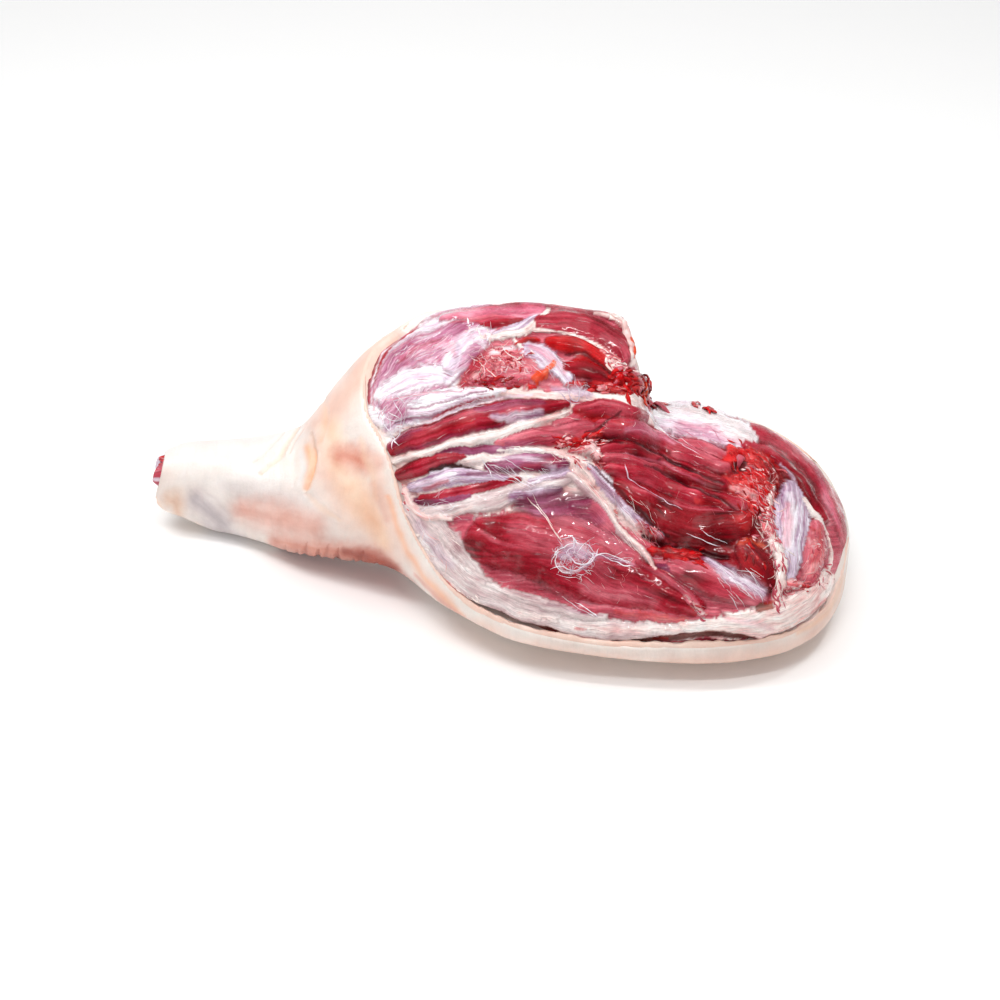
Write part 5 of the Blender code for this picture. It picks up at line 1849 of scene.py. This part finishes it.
@dataclass(frozen=True)
class Strand:
    """One string of fascia over the meat."""

    path: Path
    tissue: Tissue
    width: float
    wander: float = 0.8

    STEPS_PER_MM = 1.4
    COLUMNS = 7
    FLATNESS = 0.6
    TAPER = 5.0
    LEAST = 0.12

    def add_to(self, batch: Batch, meat: Meat) -> None:
        """Lay the string on the meat, thinner towards its ends.

        Args:
            batch: what it is gathered in.
            meat: the meat that it lies on.
        """
        line = smooth_line(self.path)
        walked = np.concatenate([[0.0], np.cumsum(np.hypot(*np.diff(line, axis=0).T))])
        even = np.linspace(0.0, walked[-1], max(6, int(walked[-1] * self.STEPS_PER_MM)))
        x, height = (np.interp(even, walked, line[:, k]) for k in (0, 1))
        seed = line[0, 0] * 0.37 + line[0, 1]
        sway_x, sway_height, swell = (
            NOISE.layered(even / pitch + seed, even * 0.0 + shift, octaves=2)
            for pitch, shift in ((6.0, 0.0), (6.0, 9.0), (5.0, 4.0)))
        x, height = x + self.wander * sway_x, height + self.wander * sway_height
        points, normals = meat.place(x, height)
        taper = smooth_step(np.minimum(even, walked[-1] - even) / self.TAPER)
        width = np.maximum(self.width * (0.25 + 0.75 * taper) * (1.0 + 0.35 * swell), self.LEAST)
        rings = tube(points + normals * (width * 0.25)[:, None], normals, width, self.FLATNESS, self.COLUMNS)
        along = np.broadcast_to(even[:, None], rings.shape[:2])
        across = along * 0.0 + np.arange(self.COLUMNS) * 0.5
        batch.add(rings, tissue_fields(self.tissue, along, across, seed))


def strands(table: str) -> list[Strand]:
    """Strings, each row the tissue, half width and wander, and the path."""
    return [Strand(path_of(path), *kind_of(head)) for head, path in table_rows(table)]


STRANDS = strands("""
ROSE 1.7 .5: 121 142,124 134,126 125
ROSE 1.1 .4: 119 138,121 130,124 122
FAT 2.6 .4: 90 204,99 198,104 188,107 176,108 163
ORANGE 2.2 .3: 105 186,108 177,109 165
FAT .48 .4: 26 188,50 187,68 181,82 174,92 167
FAT .54: 25 56,34 46,41 36,50 21
FAT .36: 29 58,36 46,43 34
SILVER .4: 50 22,58 24,60 18,54 12,60 6,68 4,74 10,70 14
SILVER .4: 44 8,46 14,54 18,64 20
SILVER .36: 43 4,44 10,50 14
SILVER .42: 42 0,50 2,60 0,70 4,76 10,78 16
SILVER .36: 46 -4,54 -6,62 -6
SILVER .36: 48 16,46 6,50 -2,60 -4
SILVER .4: 70 12,80 10,92 5,106 2
SILVER .36: 72 8,84 11,96 7,104 4
SILVER .36: 58 26,62 20,70 18,76 12
SILVER .24: 62 12,70 20,76 24
SILVER .36: 60 -25,70 -30,80 -37
SILVER .24: 50 -20,62 -28,76 -36
SILVER .36: 100 82,103 72,112 63,124 56,134 49,144 46
SILVER .3: 146 27,154 24,162 22,172 20
SILVER .24: 156 30,166 24,178 22
SILVER .42: -96 128,-88 112,-82 102,-80 92
SILVER .36: -74 134,-70 122,-74 112,-82 98
SILVER .3: -80 130,-74 120,-78 106
SILVER .24: -92 140,-78 136,-70 128
SILVER .3: -12 88,-6 78,-2 70
SILVER .3: -6 82,6 76,20 68,28 62
SILVER .24: 0 80,14 74,26 72
SILVER .24: 6 86,18 78,30 74
SILVER .3: 10 80,22 70,30 64
SILVER .24: -4 76,8 70,22 64
FAT .3: -60 92,-36 99,-12 104,20 112
FAT .3: 8 94,18 95,22 90,40 92,50 88
FAT .24: 24 114,44 118,66 117
CARTILAGE .54: 56 142,58 134,64 132,66 140,62 145
CARTILAGE .42: 62 134,68 136,70 144
CARTILAGE .42: 50 138,56 132,66 130
FAT .42: 4 178,8 170,14 166,22 158
FAT .3: -6 172,4 176,12 182
FAT .3: -12 160,-2 152,8 150
FAT .3: -20 168,-12 160,-14 150
FAT .3: 64 72,80 52,98 28,112 10
FAT .24: 68 72,84 54,100 36,116 20
SILVER .36: 118 124,130 110,148 96,160 88
SILVER .24: 124 118,138 108,152 98
TORN .3: 184 70,198 62,212 50
TORN .3: 180 62,194 54,206 46
TORN .3: 186 84,196 70,210 60
FAT .3: 214 24,222 14,228 4
SILVER .3: 168 4,178 -4,186 -14
SILVER .3: 172 6,184 -2,194 -12
SILVER .24: 166 0,174 -8,180 -16
""")


@dataclass(frozen=True)
class Tangle:
    """Curled threads strewn over a patch.

    The heading is the way most of them point, in degrees, and the fan how much they differ.
    """

    tissue: Tissue
    centre: tuple[float, float]
    reach: tuple[float, float]
    count: int
    lengths: tuple[float, float]
    widths: tuple[float, float]
    curl: float
    heading: float = 0.0
    fan: float = 90.0

    STEP = 2.5
    WANDER = 0.4

    def strands(self, draw: np.random.Generator) -> list[Strand]:
        """The threads, each bending one way with some wander.

        Args:
            draw: the source of random numbers.

        Returns:
            One strand for each thread.
        """
        made = []
        for _ in range(self.count):
            steps = max(3, int(draw.uniform(*self.lengths) / self.STEP))
            bend = draw.normal(0.0, self.curl) + draw.normal(0.0, self.curl / 2, steps)
            way = math.radians(self.heading + draw.normal(0.0, self.fan)) + np.cumsum(bend) * self.STEP
            radius, angle = math.sqrt(draw.uniform()), draw.uniform(0.0, 2 * math.pi)
            x, height = (
                middle + reach * radius * turn(angle) + np.cumsum(steer(way)) * self.STEP
                for middle, reach, turn, steer in zip(
                    self.centre, self.reach, (math.cos, math.sin), (np.cos, np.sin)))
            path = tuple(zip(x.tolist(), height.tolist()))
            made.append(Strand(path, self.tissue, draw.uniform(*self.widths), self.WANDER))
        return made


def tangles(table: str) -> list[Tangle]:
    """Tangles, each row the tissue, centre, reach, count, lengths, widths, curl, heading and fan."""
    made = []
    for (row,) in table_rows(table):
        tissue, x, height, wide, high, count, short, long, thin, thick, *rest = kind_of(row)
        ranges = (short, long), (thin, thick)
        made.append(Tangle(tissue, (x, height), (wide, high), int(count), *ranges, *rest))
    return made


# short pale flecks on the lobes: painted glints, small highlights laid on as threads
TANGLES = tangles("""
SHEEN 60 10 13 10 60 5 14 .16 .36 .24 0 90
SILVER 60 12 12 10 34 4 11 .14 .3 .26
SILVER 60 -1 14 4 24 4 10 .12 .26 .2 0 50
SILVER 88 6 14 4 14 5 13 .1 .24 .08 -12 20
TORN 2 160 22 14 90 4 12 .16 .38 .16 0 90
SILVER 2 160 22 14 40 4 12 .14 .34 .16
SILVER -12 180 12 9 26 5 13 .14 .34 .1 40 40
SILVER 38 166 14 9 34 8 18 .14 .32 .02 -40 10
CARTILAGE 62 138 9 5 30 6 15 .2 .5 .2 0 90
TORN 200 62 14 18 70 7 18 .16 .36 .05 -42 16
FAT 206 44 10 14 36 8 18 .16 .36 .05 -56 16
FAT 217 4 6 26 36 8 18 .18 .45 .05 -84 14
SILVER 182 -6 16 12 30 10 24 .1 .24 .02 -38 8
SILVER 14 76 26 8 16 7 16 .1 .18 .03 -30 12
SILVER -86 112 7 16 14 8 20 .16 .4 .05 -70 20
SILVER -52 130 32 8 24 14 34 .12 .26 .01 12 5
SILVER -50 48 20 7 26 6 15 .18 .4 .08 10 30
FAT -48 18 16 22 30 7 16 .16 .36 .05 -50 20
FAT 60 88 16 8 30 5 13 .16 .36 .1 -20 60
FAT 98 44 18 20 20 8 20 .1 .2 .02 -50 8
PINK 150 108 26 8 20 8 22 .12 .3 .02 -22 10
TORN 148 42 34 15 18 2 5 .1 .16 .1 -20 30
TORN 96 112 26 12 14 2 5 .1 .16 .1 -10 30
TORN 90 -8 36 14 22 2 5 .1 .16 .1 -20 60
PINK -64 166 22 13 90 3 8 .2 .5 .03 36 14
SILVER -58 170 24 14 50 3 9 .14 .36 .03 36 16
PINK -86 122 10 14 30 4 10 .16 .4 .05 60 30
TORN 250 8 10 18 24 4 10 .14 .28 .08 -60 40
TORN 110 150 12 7 16 5 11 .2 .4 .06 -60 30
""")


class Fascia:
    """All strings of fascia as one piece."""

    SEED = 29

    def build(self, meat: Meat, material: Material) -> None:
        """Make the piece."""
        draw = np.random.default_rng(self.SEED)
        batch = Batch()
        for strand in (*STRANDS, *itertools.chain(*(tangle.strands(draw) for tangle in TANGLES))):
            strand.add_to(batch, meat)
        batch.build("fascia", material)


# ---- the studio
@dataclass(frozen=True)
class Softbox:
    """A rectangular light that faces the leg."""

    name: str
    place: tuple[float, float, float]
    size: tuple[float, float]
    power: float
    colour: Colour = (1.0, 1.0, 1.0)

    AIM = (0.0, 0.0, 0.08)

    def build(self) -> None:
        """Make the light, turned towards the leg."""
        light = bpy.data.lights.new(self.name, "AREA")
        light.shape = "RECTANGLE"
        light.size, light.size_y = self.size
        light.energy = self.power
        light.color = self.colour
        lamp = bpy.data.objects.new(self.name, light)
        lamp.location = self.place
        aim = [goal - start for goal, start in zip(self.AIM, self.place)]
        lamp.rotation_euler = Vector(aim).to_track_quat("-Z", "Y").to_euler()
        bpy.context.scene.collection.objects.link(lamp)


@dataclass(frozen=True)
class Studio:
    """Pale floor, soft light and the camera."""

    floor_size: float = 14.0
    floor_colour: Colour = (0.95, 0.948, 0.946)
    floor_drop: float = 0.0002
    world_light: float = 0.36
    floor_glow: float = 0.045
    distance: float = 2.12
    elevation: float = 36.0
    target: tuple[float, float, float] = (0.003, 0.0, 0.066)
    lens: float = 95.4
    boxes: tuple[Softbox, ...] = (
        Softbox("overhead", (-0.1, 0.6, 2.6), (4.4, 3.6), 45.0),
        Softbox("front fill", (-1.4, -2.4, 0.6), (2.6, 1.0), 9.0),
        Softbox("left strip", (-0.75, 0.1, 1.3), (0.06, 0.8), 7.0),
        Softbox("near strip", (0.1, -0.5, 1.5), (0.7, 0.03), 5.0),
        Softbox("right lamp", (0.7, 0.2, 1.2), (0.08, 0.08), 3.0),
    )

    def build(self) -> None:
        """Make the floor, the lights, the world and the camera."""
        self.build_floor()
        for box in self.boxes:
            box.build()
        world = bpy.data.worlds.new("studio")
        world.use_nodes = True
        world.node_tree.nodes["Background"].inputs["Color"].default_value = (1.0, 1.0, 1.0, 1.0)
        world.node_tree.nodes["Background"].inputs["Strength"].default_value = self.world_light
        bpy.context.scene.world = world
        bpy.context.scene.view_settings.view_transform = "Standard"
        self.build_camera()

    def build_floor(self) -> None:
        """Make the floor, a plain square of near white."""
        graph = Graph("floor")
        graph.set_shader(Base_Color=(*self.floor_colour, 1.0), Roughness=0.32, Specular_IOR_Level=0.25,
                         Emission_Color=(1.0, 1.0, 1.0, 1.0), Emission_Strength=self.floor_glow)
        half = self.floor_size / 2
        mesh = bpy.data.meshes.new("floor")
        corners = [(-half, -half, -self.floor_drop), (half, -half, -self.floor_drop),
                   (half, half, -self.floor_drop), (-half, half, -self.floor_drop)]
        mesh.from_pydata(corners, [], [(0, 1, 2, 3)])
        mesh.materials.append(graph.material)
        floor = bpy.data.objects.new("floor", mesh)
        bpy.context.scene.collection.objects.link(floor)

    def build_camera(self) -> None:
        """Make the camera, which looks down on the cut side."""
        tilt = math.radians(self.elevation)
        camera = bpy.data.objects.new("camera", bpy.data.cameras.new("camera"))
        camera.data.lens = self.lens
        camera.data.sensor_width = 36.0
        x, y, z = self.target
        camera.location = (x, y - self.distance * math.cos(tilt), z + self.distance * math.sin(tilt))
        camera.rotation_euler = (math.pi / 2 - tilt, 0.0, 0.0)
        bpy.context.scene.collection.objects.link(camera)
        bpy.context.scene.camera = camera


def main() -> None:
    """Build every piece in order."""
    logging.basicConfig(level=logging.INFO, format="%(message)s")
    flesh = TissueMaterial().make()
    rind_material = RindMaterial().make()
    meat = Meat()
    meat.build(flesh)
    rind = Rind()
    rind.build(rind_material)
    SkinRim().build(rind.surface, rind_material)
    HockEnd().build(rind.hock_ring, flesh)
    TornFlesh().build(meat, flesh)
    Fascia().build(meat, flesh)
    Studio().build()
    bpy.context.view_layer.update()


if __name__ == "__main__":
    main()
